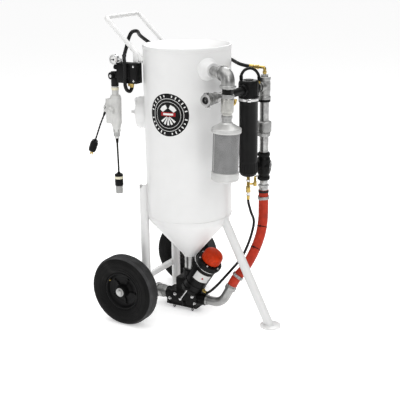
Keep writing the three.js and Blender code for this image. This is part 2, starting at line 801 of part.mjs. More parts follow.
function buildExhaust() {
  const line = new THREE.Group();
  line.position.set(exhaustX, exhaustY, exhaustHeight);
  line.quaternion.setFromAxisAngle(point(0.866, 0.5, 0), THREE.MathUtils.degToRad(exhaustLean));
  blastPot.add(line);

  const elbowDrop = 66;
  const down = point(0, 0, -1).applyQuaternion(line.quaternion);
  const nippleStart = nozzleEnd - 26;
  const towardShell = exhaustDirection.clone().negate();
  const elbowCore = bentBar([
    exhaustDirection.clone().multiplyScalar(-58),
    point(0, 0, 0),
    down.clone().multiplyScalar(elbowDrop - 6),
  ], 40, 33, 16, 5);
  const mouth = aimed(rod(38, 52, 66, 24), point(0, 0, 0), towardShell);
  const foot = aimed(rod(40, elbowDrop - 14, elbowDrop, 24), point(0, 0, 0), down);
  const nipple = aimed(rod(pipeRadius, 50, exhaustReach - nippleStart, 20), point(0, 0, 0), towardShell);
  const elbow = add('exhaust_elbow', join(elbowCore, mouth, foot, nipple), galvanised);
  elbow.position.set(exhaustX, exhaustY, exhaustHeight);

  const unionTop = -elbowDrop - gap;
  const valveStart = unionTop - 47;
  add('exhaust_valve', turned([
    [0, unionTop],
    [26, unionTop],
    [22, unionTop - 3],
    [22, unionTop - 26],
    [33, unionTop - 28],
    [33, valveStart],
    [31, valveStart],
    [31, valveStart - 70],
    [24, valveStart - 74],
    [24, valveStart - 114],
    [0, valveStart - 114],
  ], 20), brass, line);

  const headTop = valveStart - 114 - gap;
  const headHeight = 52;
  const wall = 3;
  add('silencer_head', turned([
    [0, headTop],
    [27, headTop],
    [33, headTop - 8],
    [mufflerCapRadius - 8, headTop - 26],
    [mufflerCapRadius, headTop - 32],
    [mufflerCapRadius, headTop - headHeight],
    [mufflerCapRadius - wall, headTop - headHeight],
    [mufflerCapRadius - wall, headTop - 34],
    [0, headTop - 24],
  ], 24), castGrey, line);
  const bodyTop = headTop - 34 - gap;
  const bodyBottom = bodyTop - 256;
  add('silencer_body', turned([
    [mufflerRadius - wall, bodyTop],
    [mufflerRadius, bodyTop],
    [mufflerRadius, bodyBottom + 42],
    [mufflerCapRadius - 4, bodyBottom + 38],
    [mufflerCapRadius - 4, bodyBottom + 6],
    [mufflerRadius, bodyBottom],
    [18, bodyBottom],
    [18, bodyBottom + wall],
    [mufflerRadius - wall, bodyBottom + wall],
  ], 24), castGrey, line);
}

// ---------------------------------------------------------------- rear control group

function buildControls() {
  const nearFace = controlX - blockThickness / 2;
  const farFace = controlX + blockThickness / 2;
  const block = slab(nearFace, farFace, blockFrontY, blockRearY, blockBottom, blockTop);
  const elbowHeight = 1312;
  const elbowDown = rod(20, 1256, elbowHeight + 20, 20).translate(controlX, conduitY, 0);
  const elbowBack = between(point(controlX, blockRearY - 5, elbowHeight),
    point(controlX, conduitY, elbowHeight), 17, 16);
  const eye = between(point(controlX, conduitY, elbowHeight), point(controlX - 26, conduitY + 8, elbowHeight),
    19, 16);
  add('control_block', join(block, elbowDown, elbowBack, eye), black);

  const gaugeFront = controlX - 14;
  const gaugeBack = controlX + 12;
  const can = aimed(turned([
    [0, 0],
    [gaugeRadius, 0],
    [gaugeRadius, gaugeBack - gaugeFront],
    [gaugeRadius - 3, gaugeBack - gaugeFront],
    [gaugeRadius - 3, gaugeBack - gaugeFront - 5],
    [0, gaugeBack - gaugeFront - 5],
  ], 24), point(gaugeBack, gaugeY, gaugeHeight), point(-1, 0, 0));
  const stemOut = between(point(controlX, gaugeY - gaugeRadius + 4, gaugeHeight),
    point(controlX, gaugeY - gaugeRadius - 16, gaugeHeight), 7, 12);
  const stemDown = between(point(controlX, gaugeY - gaugeRadius - 12, gaugeHeight + 7),
    point(controlX, gaugeY - gaugeRadius - 12, blockTop + gap), 7, 12);
  add('gauge_body', join(can, stemOut, stemDown), chrome);
  const dialFace = gaugeFront + 5;
  const needle = slab(dialFace - 2.5, dialFace - gap - 0.7, gaugeY - 2, gaugeY + 17, gaugeHeight - 1.2,
    gaugeHeight + 1.2);
  const boss = aimed(rod(4, 0.5, 3.5, 12), point(dialFace, gaugeY, gaugeHeight), point(-1, 0, 0));
  add('gauge_needle', join(needle, boss), black);

  const knobHeight = 1356;
  const knob = aimed(stepped([[9, 8], [13, 22]], gap, 16), point(controlX, blockRearY, knobHeight),
    point(0, 1, 0));
  add('regulator_knob', knob, black);

  buildConduit();
}

const branchRoot = point(controlX, conduitY + 41, 1172.5);
const branchDirection = point(0, 0.45, -0.893).normalize();
const branchEnd = branchRoot.clone().addScaledVector(branchDirection, 62);
const glandBottom = 978;

function buildConduit() {
  const nipple = rod(18, 1208, 1256 - gap, 20);
  const barrel = turned([
    [0, 1012],
    [20, 1012],
    [20, 1030],
    [29, 1060],
    [31, 1190],
    [25, 1209],
    [0, 1209],
  ], 20);
  const gland = stepped([[13, 12], [17, 24]], glandBottom, 16);
  const upright = join(nipple, barrel, gland).translate(controlX, conduitY, 0);
  const belly = slab(controlX - 30, controlX + 30, conduitY + 4, conduitY + 44, 1060, 1190);
  const boss = aimed(rod(22, 0, 44, 20), point(controlX, conduitY + 10, 1130), point(-1, 0, 0));
  const branch = aimed(stepped([[17, 48], [12, 14]], 0, 16), branchRoot, branchDirection);
  add('conduit_body', join(upright, belly, boss, branch), castGrey);
}

// ---------------------------------------------------------------- hanging cords

const plugTop = point(controlX, conduitY + 143, 957);
const plugCordPoints = [
  branchEnd.clone().addScaledVector(branchDirection, gap),
  branchEnd.clone().addScaledVector(branchDirection, 36),
  branchEnd.clone().addScaledVector(branchDirection, 76),
  point(controlX, conduitY + 126, 996),
  plugTop.clone(),
];
const socketTop = 790;
const socketCordPoints = [
  point(controlX, conduitY, glandBottom - gap),
  point(controlX, conduitY, glandBottom - 45),
  point(controlX, conduitY - 1, 880),
  point(controlX, conduitY - 2, 835),
  point(controlX, conduitY - 2, socketTop),
];

function buildCords() {
  const cordRadius = 5;
  add('plug_cord', hose(plugCordPoints, cordRadius, 8, 12), rubber);
  const plugDirection = plugTop.clone().sub(plugCordPoints[3]).normalize();
  const body = stepped([[8, 8], [17, 14], [21, 42], [20, 10]], gap, 16);
  const blades = [-6.5, 6.5].map((side) => slab(side - 0.8, side + 0.8, -3.2, 3.2, 72, 94));
  const pin = rod(2.5, 72, 96, 10).translate(0, 8.5, 0);
  add('plug', aimed(join(body, ...blades, pin), plugTop, plugDirection), black);

  add('socket_cord', hose(socketCordPoints, cordRadius, 8, 10), rubber);
  const socket = stepped([[9, 10], [22, 34], [23, 32], [20, 40]], gap, 16);
  add('socket_connector', aimed(socket, point(controlX, conduitY - 2, socketTop), point(0, 0, -1)), black);
}

// ---------------------------------------------------------------- air hoses held at both ends

const controlHoseTop = point(filterX, filterY, 684);

// beside the pusher hose from the stack down to the elbow: which of its points, and the way from there
const besidePusher = [
  [6, -51, 30, 0],
  [5, -36, 37, 5],
  [4, -34, 39, 3],
  [3, -30, 36, 14],
  [2, -28, 65, -10],
  [0, -10, 54, 24],
];

// round the far side of the shell: bearing from the front, distance out from the shell, and a height
const roundShellRoute = [
  [40.2, 53.1, 1360],
  [63.2, 37.9, 1377],
  [90, 35.4, 1390],
  [115.9, 41.5, 1390],
  [138.9, 45, 1394],
  [153.6, 50.5, 1418],
  [167.5, 48, 1462],
  [182.9, 48.8, 1506],
  [196.9, 39, 1536],
];

// down past the control block and up into its underside, measured from the block's own X and front face
const downBlockRoute = [
  [35, 96, 1460],
  [9, 90, 1430],
  [-25, 72, 1412],
  [-42, 58, 1385],
  [-42, 56, 1340],
  [-41, 60, 1290],
  [-40, 60, 1268],
  [-31, 56, 1246],
  [-15, 50, 1238],
  [0, 48, 1252],
];

// over from the filter head to the tee: share of the way, and a height
const linkHoseRoute = [
  [0, 1320],
  [0.17, 1344],
  [0.5, 1352],
  [0.81, 1338],
  [1, 1308],
];

function buildAirHoses() {
  add('blast_control_hose', hose([
    controlHoseTop.clone(),
    point(filterX + 1, filterY, 650),
    point(filterX + 23, filterY - 3, 590),
    ...besidePusher.map(([place, x, y, z]) => hosePoints[place].clone().add(point(x, y, z))),
    point(5, -158, 160),
    point(0, -128, 130),
    signalPort.clone().addScaledVector(signalAim, 26),
    signalPort.clone().addScaledVector(signalAim, 0.6),
  ], 7, 8, 26), rubber);

  const armAim = brassElbowEnd.clone().sub(point(stackX, stackY, brassElbowHeight)).normalize();
  add('rear_control_hose', hose([
    brassElbowEnd.clone().addScaledVector(armAim, gap),
    brassElbowEnd.clone().addScaledVector(armAim, 30),
    ...roundShellRoute.map(([bearing, standOff, height]) => point(...standing(bearing, standOff), height)),
    point(38 - handleHalfWidth, vesselRadius + 33.4, 1532),
    point(28 - handleHalfWidth, vesselRadius + 49.4, 1496),
    ...downBlockRoute.map(([x, y, height]) => point(controlX + x, blockFrontY + y, height)),
    point(controlX, blockFrontY + 48, blockBottom - gap),
  ], 9.5, 8, 46), rubber);

  const linkStart = point(filterX - 19, filterY + 33, filterHeadTop + gap);
  add('filter_link_hose', hose([
    linkStart,
    ...linkHoseRoute.map(([share, height]) => linkStart.clone().lerp(linkHoseEnd, share).setZ(height)),
    linkHoseEnd.clone(),
  ], 7.5, 8, 16), rubber);
}

// ---------------------------------------------------------------- assembly

buildVessel();
buildPopUpValve();
buildHandway();
buildFrame();
buildWheel('near', -1);
buildWheel('far', 1);
buildMeteringValve();
buildBlastCoupling();
buildPusherLine();
buildFilter();
buildExhaust();
buildControls();
buildCords();
buildAirHoses();

// stand the pot on Z = 0 with its box, less the free cords, centred over the origin
const freePieces = ['plug_cord', 'plug', 'socket_cord', 'socket_connector'];
blastPot.updateMatrixWorld(true);
const box = new THREE.Box3();
blastPot.traverse((piece) => {
  if (piece.isMesh && !freePieces.includes(piece.name)) box.expandByObject(piece, true);
});
const middle = box.getCenter(new THREE.Vector3());
blastPot.position.set(-middle.x, -middle.y, -box.min.z);

export default blastPot;
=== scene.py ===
"""Looks of a portable abrasive blast pot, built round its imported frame.

Shapes are written in millimetres, +Z up, with the vessel's axis at X = Y = 0, and are moved into the
frame's metres when they are made.
"""
import json
import math
from math import cos, pi, radians, sin

import bmesh
import bpy
from mathutils import Matrix, Quaternion, Vector


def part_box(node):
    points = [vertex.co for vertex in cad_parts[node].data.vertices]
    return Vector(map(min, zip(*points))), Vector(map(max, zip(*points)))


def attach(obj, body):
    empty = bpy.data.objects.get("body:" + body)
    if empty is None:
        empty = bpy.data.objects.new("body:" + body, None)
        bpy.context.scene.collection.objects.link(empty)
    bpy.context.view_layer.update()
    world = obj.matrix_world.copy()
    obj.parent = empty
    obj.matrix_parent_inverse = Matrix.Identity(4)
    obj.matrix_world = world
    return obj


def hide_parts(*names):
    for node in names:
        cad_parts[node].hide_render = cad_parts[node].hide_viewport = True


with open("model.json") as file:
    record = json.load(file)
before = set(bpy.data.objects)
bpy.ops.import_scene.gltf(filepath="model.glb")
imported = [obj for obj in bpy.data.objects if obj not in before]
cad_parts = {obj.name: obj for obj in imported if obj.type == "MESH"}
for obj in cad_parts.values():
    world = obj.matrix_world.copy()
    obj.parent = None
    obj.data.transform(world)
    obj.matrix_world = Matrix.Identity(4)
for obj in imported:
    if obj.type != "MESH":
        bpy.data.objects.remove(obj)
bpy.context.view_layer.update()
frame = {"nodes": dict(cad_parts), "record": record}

MM = 0.001
head_low, head_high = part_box("top_head")
AXIS_X = (head_low.x + head_high.x) / 2
AXIS_Y = (head_low.y + head_high.y) / 2
UP = Vector((0, 0, 1))


def place(x, y, z):
    """A point of the vessel's own frame, in millimetres, as a point of the row frame in metres."""
    return Vector((x * MM + AXIS_X, y * MM + AXIS_Y, z * MM))


# ---------------------------------------------------------------- sizes, in millimetres

VESSEL_R = 228.6
SEAM_Z = 573
RIM_Z = 1474
RIM_BAND = 19
DISH_DEPTH = 58
DISH_R = 223.6
PORT_R = 31
CONE_KNEE_R = 214
CONE_KNEE_DROP = 40
OUTLET_R = 36
OUTLET_Z = 322
WALL = 5

HANDWAY_Z = 1110
HANDWAY_TURN = radians(16)
HANDWAY_R = 84
HANDWAY_FACE = VESSEL_R + 38

UPRIGHT_X = 155
UPRIGHT_Y = 190
AXLE_Y = 214
AXLE_Z = 192
TYRE_R = 192
TYRE_HALF = 46
WHEEL_X = 327
RIM_R = 104
HUB_R = 31

UPRIGHT_OUTER_R = 24.15
CROSS_TUBE_R = 18.6
LEG_FOOT_Y = -490
HANDLE_X = 152
HANDLE_Y = 396
HANDLE_Z = 1606
HANDLE_ROOT_Y = 170
HANDLE_ROOT_Z = 1395
HUB_HALF = 50
HOSE_R = 27

RUN_Z = 72
BARREL_ROOT = Vector((0, 33, RUN_Z))
BARREL_AIM = Vector((0, -cos(radians(56)), sin(radians(56))))
BARREL_R = 62

PIPE_R = 24
EXHAUST = Vector((-231, -366, 1370))
EXHAUST_LEAN = Quaternion((0.866, 0.5, 0), radians(2))
EXHAUST_OUT = Vector((EXHAUST.x, EXHAUST.y, 0)).normalized()
NOZZLE_END = VESSEL_R + 60
ELBOW_DROP = 66.3
UNION_LENGTH = 47
EXHAUST_VALVE_LENGTH = 114
SEAM_BEARING = radians(146.249)
PORT_Z = 1250
FILTER = Vector((87, -313, 0))
FILTER_HEAD_R = 53
FILTER_ARM = 65.3
INLET_REACH = 392
INLET_BLACK_RUN = 120
STACK = Vector((207, -345, 0))
INLET_AIM = Vector((-1, 0.087, 0)).normalized()

CONTROL_X = -165
CONDUIT_Y = 344
GAUGE = Vector((CONTROL_X, 339, 1395))

# ---------------------------------------------------------------- camera

CAMERA_PLACE = place(-3827.1, -2298.2, 1975.7)
CAMERA_RIGHT = Vector((0.5005, -0.8657, -0.0120))
CAMERA_UP = Vector((0.2548, 0.1341, 0.9577))
CAMERA_LENS = 77.4


def make_camera():
    data = bpy.data.cameras.new("camera")
    data.lens = CAMERA_LENS
    data.sensor_width = 36
    data.clip_end = 60
    camera = bpy.data.objects.new("camera", data)
    bpy.context.scene.collection.objects.link(camera)
    right = CAMERA_RIGHT.normalized()
    up = (CAMERA_UP - right * CAMERA_UP.dot(right)).normalized()
    back = right.cross(up)
    turn = Matrix((right, up, back)).transposed().to_4x4()
    camera.matrix_world = Matrix.Translation(CAMERA_PLACE) @ turn
    bpy.context.scene.camera = camera


# ---------------------------------------------------------------- curves and outlines


def soften(outline, radius, steps=4):
    """Rounds the inner corners of an open [(radius, height)] outline."""
    points = [Vector(p) for p in outline]
    result = [points[0]]
    for before, corner, after in zip(points, points[1:], points[2:]):
        a, b = before - corner, after - corner
        reach = min(radius, a.length * 0.45, b.length * 0.45)
        if reach < 0.05 or a.length < 1e-6 or b.length < 1e-6:
            result.append(corner)
            continue
        start = corner + a.normalized() * reach
        end = corner + b.normalized() * reach
        for i in range(steps + 1):
            t = i / steps
            result.append(start * (1 - t) ** 2 + corner * 2 * t * (1 - t) + end * t**2)
    result.append(points[-1])
    return [tuple(p) for p in result]


def stepped(steps, start=0):
    """Outline of a stepped round bar from its [(radius, length)] steps."""
    outline = [(0, start)]
    height = start
    for radius, length in steps:
        outline += [(radius, height), (radius, height + length)]
        height += length
    return outline + [(0, height)]


def smooth_route(points, per_piece=10):
    """Points of a centripetal curve through the given points."""
    knots = [Vector(p) for p in points]
    knots = [knots[0] * 2 - knots[1]] + knots + [knots[-1] * 2 - knots[-2]]
    route = []
    for p0, p1, p2, p3 in zip(knots, knots[1:], knots[2:], knots[3:]):
        d0, d1, d2 = ((b - a).length ** 0.5 for a, b in ((p0, p1), (p1, p2), (p2, p3)))
        leave = ((p1 - p0) / d0 - (p2 - p0) / (d0 + d1) + (p2 - p1) / d1) * d1
        enter = ((p2 - p1) / d1 - (p3 - p1) / (d1 + d2) + (p3 - p2) / d2) * d1
        for i in range(per_piece):
            t = i / per_piece
            route.append(
                p1
                + leave * t
                + (p2 * 3 - p1 * 3 - leave * 2 - enter) * t**2
                + (p1 * 2 - p2 * 2 + leave + enter) * t**3
            )
    route.append(knots[-2])
    return route


def bent_route(corners, bend, steps=10):
    """Straight runs joined by rounded corners."""
    corners = [Vector(c) for c in corners]
    route = [corners[0]]
    for before, corner, after in zip(corners, corners[1:], corners[2:]):
        start = corner + (before - corner).normalized() * bend
        end = corner + (after - corner).normalized() * bend
        for i in range(steps + 1):
            t = i / steps
            route.append(start * (1 - t) ** 2 + corner * 2 * t * (1 - t) + end * t**2)
    route.append(corners[-1])
    return route


def route_length(route):
    return sum((b - a).length for a, b in zip(route, route[1:]))


def along_route(route, distance):
    """The point and direction at a distance along a route."""
    for a, b in zip(route, route[1:]):
        step = (b - a).length
        if distance <= step:
            return a.lerp(b, distance / step), (b - a).normalized()
        distance -= step
    return route[-1], (route[-1] - route[-2]).normalized()


def turns(count):
    """The angles of a full turn in equal steps."""
    return [2 * pi * i / count for i in range(count)]


def toward(side, other, angle):
    """The direction at an angle, in the plane of two directions."""
    return side * cos(angle) + other * sin(angle)


def spun(spot, angle, axis):
    """The place at a spot, turned about a main axis."""
    return Matrix.Translation(spot) @ Matrix.Rotation(angle, 4, axis)


def on_barrel(distance):
    """A point of the metering barrel's axis."""
    return BARREL_ROOT + BARREL_AIM * distance


def rear_turn(angle):
    return Vector((-sin(angle), cos(angle), 0))


# ---------------------------------------------------------------- shapes


class Shape:
    """A mesh under construction, in millimetres."""

    def __init__(self):
        self.mesh = bmesh.new()
        self.uv = self.mesh.loops.layers.uv.new("UVMap")

    def face(self, corners, uvs=()):
        if len({id(c) for c in corners}) < 3:
            return
        try:
            face = self.mesh.faces.new(corners)
        except ValueError:
            return
        for loop, uv in zip(face.loops, uvs):
            loop[self.uv].uv = uv

    def lathe(self, outline, origin=(0, 0, 0), axis=UP, sides=48, soft=0.0, ripple=None):
        """Turns an outline that starts and ends on the axis, or a closed one, about an axis."""
        points = soften(outline, soft) if soft else list(outline)
        closed = not (abs(outline[0][0]) < 1e-6 and abs(outline[-1][0]) < 1e-6)
        if closed:
            points = soften(list(outline) + [outline[0]], soft) if soft else points + [points[0]]
            points = points[:-1]
        origin = Vector(origin)
        turn = UP.rotation_difference(Vector(axis).normalized())
        rings = []
        run = [0.0]
        for a, b in zip(points, points[1:]):
            run.append(run[-1] + math.dist(a, b))
        for radius, height in points:
            if radius < 1e-6:
                centre = self.mesh.verts.new(origin + turn @ Vector((0, 0, height)))
                rings.append([centre] * (sides + 1))
                continue
            ring = []
            for i in range(sides):
                angle = 2 * pi * i / sides
                reach = radius + (ripple(angle, height) if ripple else 0)
                spot = Vector((reach * cos(angle), reach * sin(angle), height))
                ring.append(self.mesh.verts.new(origin + turn @ spot))
            rings.append(ring + [ring[0]])
        count = len(points) if closed else len(points) - 1
        for k in range(count):
            low, high = rings[k], rings[(k + 1) % len(points)]
            v0, v1 = run[k] * MM, (run[k + 1] if k + 1 < len(run) else run[k]) * MM
            span = 2 * pi * max(points[k][0], points[(k + 1) % len(points)][0]) * MM
            for i in range(sides):
                u0, u1 = span * i / sides, span * (i + 1) / sides
                corners, uvs = [], []
                quad = ((low[i], (u0, v0)), (low[i + 1], (u1, v0)), (high[i + 1], (u1, v1)),
                        (high[i], (u0, v1)))
                for corner, uv in quad:
                    if corner not in corners:
                        corners.append(corner)
                        uvs.append(uv)
                self.face(corners, uvs)
        return self

    def band(self, inner, outer, low, high, *place_and_sides, **finish):
        """A plain ring, or a disc where the inner radius is 0."""
        outline = [(inner, low), (outer, low), (outer, high), (inner, high)]
        return self.lathe(outline, *place_and_sides, **finish)

    def tube(self, route, radius, sides=16, radius_at=None, capped=True, closed=False):
        """Sweeps a round section along a route.  radius_at(distance, angle) may vary it."""
        route = [Vector(p) for p in route]
        count = len(route)
        side = None
        rings, run = [], 0.0
        runs = []
        for i, spot in enumerate(route):
            ahead = route[(i + 1) % count] if closed else route[min(i + 1, count - 1)]
            behind = route[i - 1] if closed else route[max(i - 1, 0)]
            along = (ahead - behind).normalized()
            if side is None:
                helper = UP if abs(along.z) < 0.9 else Vector((1, 0, 0))
                side = along.cross(helper).normalized()
            else:
                side = (side - along * side.dot(along)).normalized()
                run += (spot - route[i - 1]).length
            other = along.cross(side)
            ring = []
            for k in range(sides):
                angle = 2 * pi * k / sides
                reach = radius_at(run, angle) if radius_at else radius
                ring.append(self.mesh.verts.new(spot + toward(side, other, angle) * reach))
            rings.append(ring + [ring[0]])
            runs.append(run)
        span = 2 * pi * radius * MM
        last = count if closed else count - 1
        for i in range(last):
            low, high = rings[i], rings[(i + 1) % count]
            v0, v1 = runs[i] * MM, runs[min(i + 1, count - 1)] * MM
            for k in range(sides):
                u0, u1 = span * k / sides, span * (k + 1) / sides
                self.face(
                    [low[k], low[k + 1], high[k + 1], high[k]],
                    [(u0, v0), (u1, v0), (u1, v1), (u0, v1)],
                )
        if capped and not closed:
            for ring, turned_over in ((rings[0], True), (rings[-1], False)):
                corners = ring[:-1][::-1] if turned_over else ring[:-1]
                self.face(corners)
        return self

    def prism(self, outline, low, high, matrix=None, bevel=0.0):
        """Raises a flat outline from one height to another."""
        matrix = matrix or Matrix.Identity(4)
        under = [self.mesh.verts.new(matrix @ Vector((x, y, low))) for x, y in outline]
        over = [self.mesh.verts.new(matrix @ Vector((x, y, high))) for x, y in outline]
        count = len(outline)
        made = [self.mesh.faces.new(under[::-1]), self.mesh.faces.new(over)]
        for i in range(count):
            j = (i + 1) % count
            made.append(self.mesh.faces.new([under[i], under[j], over[j], over[i]]))
        if bevel:
            edges = list(dict.fromkeys(e for f in made for e in f.edges))
            bmesh.ops.bevel(self.mesh, geom=edges, offset=bevel, segments=2, affect="EDGES", profile=0.6)
        return self

    def block(self, low, high, bevel=1.0, matrix=None):
        outline = [(low[0], low[1]), (high[0], low[1]), (high[0], high[1]), (low[0], high[1])]
        return self.prism(outline, low[2], high[2], matrix, bevel)

    def rod(self, start, end, radius, sides=24, soft=0.8):
        start, end = Vector(start), Vector(end)
        length = (end - start).length
        outline = [(0, 0), (radius, 0), (radius, length), (0, length)]
        return self.lathe(outline, start, end - start, sides, soft)

    def hexagon(self, origin, axis, flats, low, high, bevel=0.6, sides=6):
        reach = flats / 2 / cos(pi / sides)
        outline = [
            (reach * cos(2 * pi * i / sides), reach * sin(2 * pi * i / sides))
            for i in range(sides)
        ]
        matrix = Matrix.Translation(Vector(origin)) @ turned_to(axis)
        return self.prism(outline, low, high, matrix, bevel)

    def bolt(self, origin, axis, flats=10, proud=6, washer=True):
        """Hexagon bolt head on a washer, standing on a face."""
        if washer:
            self.band(0, flats * 0.72, 0, 1.4, origin, axis, 20, 0.3)
        self.hexagon(origin, axis, flats, 1.2, proud, 0.5)
        tip = [(0, proud - 1), (flats * 0.3, proud - 1), (flats * 0.27, proud + 1.2), (0, proud + 1.2)]
        return self.lathe(tip, origin, axis, 14, 0.3)

    def make(self, name, material, body="pot", stands_for=(), slot=None, sharp=38):
        mesh = bpy.data.meshes.new(name)
        bmesh.ops.recalc_face_normals(self.mesh, faces=self.mesh.faces)
        self.mesh.to_mesh(mesh)
        self.mesh.free()
        mesh.transform(Matrix.Translation((AXIS_X, AXIS_Y, 0)) @ Matrix.Scale(MM, 4))
        return finished(name, mesh, material, body, stands_for, slot, sharp)


def turned_to(axis):
    return UP.rotation_difference(Vector(axis).normalized()).to_matrix().to_4x4()


def finished(name, mesh, material, body, stands_for, slot, sharp):
    mesh.polygons.foreach_set("use_smooth", [True] * len(mesh.polygons))
    mesh.set_sharp_from_angle(angle=radians(sharp))
    mesh.materials.clear()
    mesh.materials.append(material)
    piece = bpy.data.objects.new(name, mesh)
    bpy.context.scene.collection.objects.link(piece)
    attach(piece, body)
    if stands_for:
        nodes = [stands_for] if isinstance(stands_for, str) else stands_for
        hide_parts(*nodes)
    slot or SLOT_OF[material.name]
    return piece


NODE_SLOT = {s["node"]: s["material_slot"] for s in frame["record"]["subparts"]}
NODE_BODY = {n: b for b, members in frame["record"]["behaviour"]["bodies"].items() for n in members}
SLOT_OF = {}


def refined(node, material, bevel=1.0, sharp=35):
    """A finer copy of a CAD node: its facets merged, its edges rounded and its faces smoothed."""
    mesh = frame["nodes"][node].data.copy()
    shape = bmesh.new()
    shape.from_mesh(mesh)
    bmesh.ops.remove_doubles(shape, verts=shape.verts, dist=1e-6)
    flat = radians(1.5)
    bmesh.ops.dissolve_limit(shape, angle_limit=flat, verts=shape.verts, edges=shape.edges)
    shape.to_mesh(mesh)
    shape.free()
    helper = bpy.data.objects.new(node + "_helper", mesh)
    bpy.context.scene.collection.objects.link(helper)
    rounding = helper.modifiers.new("rounding", "BEVEL")
    rounding.width = bevel * MM
    rounding.segments = 2
    rounding.limit_method = "ANGLE"
    rounding.angle_limit = radians(30)
    bpy.context.view_layer.update()
    graph = bpy.context.evaluated_depsgraph_get()
    result = bpy.data.meshes.new_from_object(helper.evaluated_get(graph))
    bpy.data.objects.remove(helper)
    return finished(node + "_body", result, material, NODE_BODY[node], node, NODE_SLOT[node], sharp)


# ---------------------------------------------------------------- materials


def surface(name, slot, color, rough, metal=0.0, mottle=0.06, mottle_scale=14.0, grain=0.15,
            grain_scale=600.0,
            grain_depth=0.0002, rough_spread=0.12, coat=0.0, stain=None, stain_scale=9.0, stain_cover=0.62,
            specular=0.5):
    """Procedural finish: mottled colour, uneven roughness, fine grain and, if asked, patchy stains."""
    material = bpy.data.materials.new(name)
    material.use_nodes = True
    SLOT_OF[material.name] = slot
    tree = material.node_tree
    shader = tree.nodes["Principled BSDF"]
    shader.inputs["Metallic"].default_value = metal
    shader.inputs["Specular IOR Level"].default_value = specular
    shader.inputs["Coat Weight"].default_value = coat
    shader.inputs["Coat Roughness"].default_value = 0.12
    coords = tree.nodes.new("ShaderNodeTexCoord")
    link = tree.links.new

    def noise(scale, detail=4.0):
        node = tree.nodes.new("ShaderNodeTexNoise")
        node.inputs["Scale"].default_value = scale
        node.inputs["Detail"].default_value = detail
        link(coords.outputs["Object"], node.inputs["Vector"])
        return node.outputs["Fac"]

    def ramp(source, stops):
        node = tree.nodes.new("ShaderNodeValToRGB")
        link(source, node.inputs["Fac"])
        for element, (spot, value) in zip(node.color_ramp.elements, stops):
            element.position = spot
            element.color = (*value, 1)
        return node.outputs["Color"]

    dark = tuple(c * (1 - mottle) for c in color)
    light = tuple(min(c * (1 + mottle), 1) for c in color)
    tone = ramp(noise(mottle_scale), [(0.3, dark), (0.7, light)])
    if stain:
        mask = ramp(noise(stain_scale, 8.0), [(stain_cover, (0, 0, 0)), (stain_cover + 0.12, (1, 1, 1))])
        mix = tree.nodes.new("ShaderNodeMix")
        mix.data_type = "RGBA"
        link(mask, mix.inputs["Factor"])
        link(tone, mix.inputs[6])
        mix.inputs[7].default_value = (*stain, 1)
        tone = mix.outputs[2]
    link(tone, shader.inputs["Base Color"])
    spread = tree.nodes.new("ShaderNodeMapRange")
    link(noise(mottle_scale * 3), spread.inputs["Value"])
    spread.inputs["To Min"].default_value = max(rough - rough_spread, 0.03)
    spread.inputs["To Max"].default_value = min(rough + rough_spread, 1)
    link(spread.outputs["Result"], shader.inputs["Roughness"])
    bump = tree.nodes.new("ShaderNodeBump")
    bump.inputs["Strength"].default_value = grain
    bump.inputs["Distance"].default_value = grain_depth
    link(noise(grain_scale, 2.0), bump.inputs["Height"])
    link(bump.outputs["Normal"], shader.inputs["Normal"])
    return material


def patterned(material, kind, size, depth, tint=None, direction="X"):
    """Adds a pattern that follows the piece's own UV lengths: bands for a wrap, or a grid of holes."""
    tree = material.node_tree
    link = tree.links.new
    shader = tree.nodes["Principled BSDF"]
    bump = next(n for n in tree.nodes if n.type == "BUMP")
    coords = next(n for n in tree.nodes if n.type == "TEX_COORD")
    if kind == "bands":
        pattern = tree.nodes.new("ShaderNodeTexWave")
        pattern.bands_direction = direction
        pattern.inputs["Scale"].default_value = 1 / size
        pattern.inputs["Distortion"].default_value = 0.4
        link(coords.outputs["UV"], pattern.inputs["Vector"])
        height = pattern.outputs["Fac"]
    else:
        pattern = tree.nodes.new("ShaderNodeTexVoronoi")
        pattern.inputs["Scale"].default_value = 1 / size
        pattern.inputs["Randomness"].default_value = 0.0
        pattern.voronoi_dimensions = "2D"
        link(coords.outputs["UV"], pattern.inputs["Vector"])
        edge = tree.nodes.new("ShaderNodeMapRange")
        link(pattern.outputs["Distance"], edge.inputs["Value"])
        edge.inputs["From Min"].default_value = 0.24
        edge.inputs["From Max"].default_value = 0.34
        height = edge.outputs["Result"]
    second = tree.nodes.new("ShaderNodeBump")
    second.inputs["Strength"].default_value = 0.8
    second.inputs["Distance"].default_value = depth
    link(height, second.inputs["Height"])
    link(bump.outputs["Normal"], second.inputs["Normal"])
    link(second.outputs["Normal"], shader.inputs["Normal"])
    if tint:
        source = shader.inputs["Base Color"].links[0].from_socket
        mix = tree.nodes.new("ShaderNodeMix")
        mix.data_type = "RGBA"
        link(height, mix.inputs["Factor"])
        mix.inputs[6].default_value = (*tint, 1)
        link(source, mix.inputs[7])
        link(mix.outputs[2], shader.inputs["Base Color"])


white = surface("white_coat", "white_paint", (0.76, 0.76, 0.755), 0.34, mottle=0.014, grain=0.12,
                grain_scale=420, grain_depth=0.0003, coat=0.2, rough_spread=0.06)
galvanised = surface("galvanised_pipe", "galvanised", (0.40, 0.40, 0.395), 0.34, metal=0.95, mottle=0.3,
                     mottle_scale=55, grain=0.35, grain_scale=260, grain_depth=0.0004,
                     stain=(0.22, 0.22, 0.21))
malleable = surface("galvanised_casting", "galvanised", (0.36, 0.36, 0.355), 0.36, metal=0.95, mottle=0.2,
                    mottle_scale=28, grain=0.4, grain_scale=180, grain_depth=0.0005, stain=(0.30, 0.30, 0.29))
black_iron = surface("black_casting", "black_casting", (0.004, 0.004, 0.004), 0.36, specular=0.14,
                     mottle=0.3, grain=0.5, grain_scale=240, grain_depth=0.0005)
black_plastic = surface("black_plastic", "black_plastic", (0.004, 0.004, 0.0042), 0.46,
                        specular=0.14, mottle=0.2, grain=0.25, grain_scale=700)
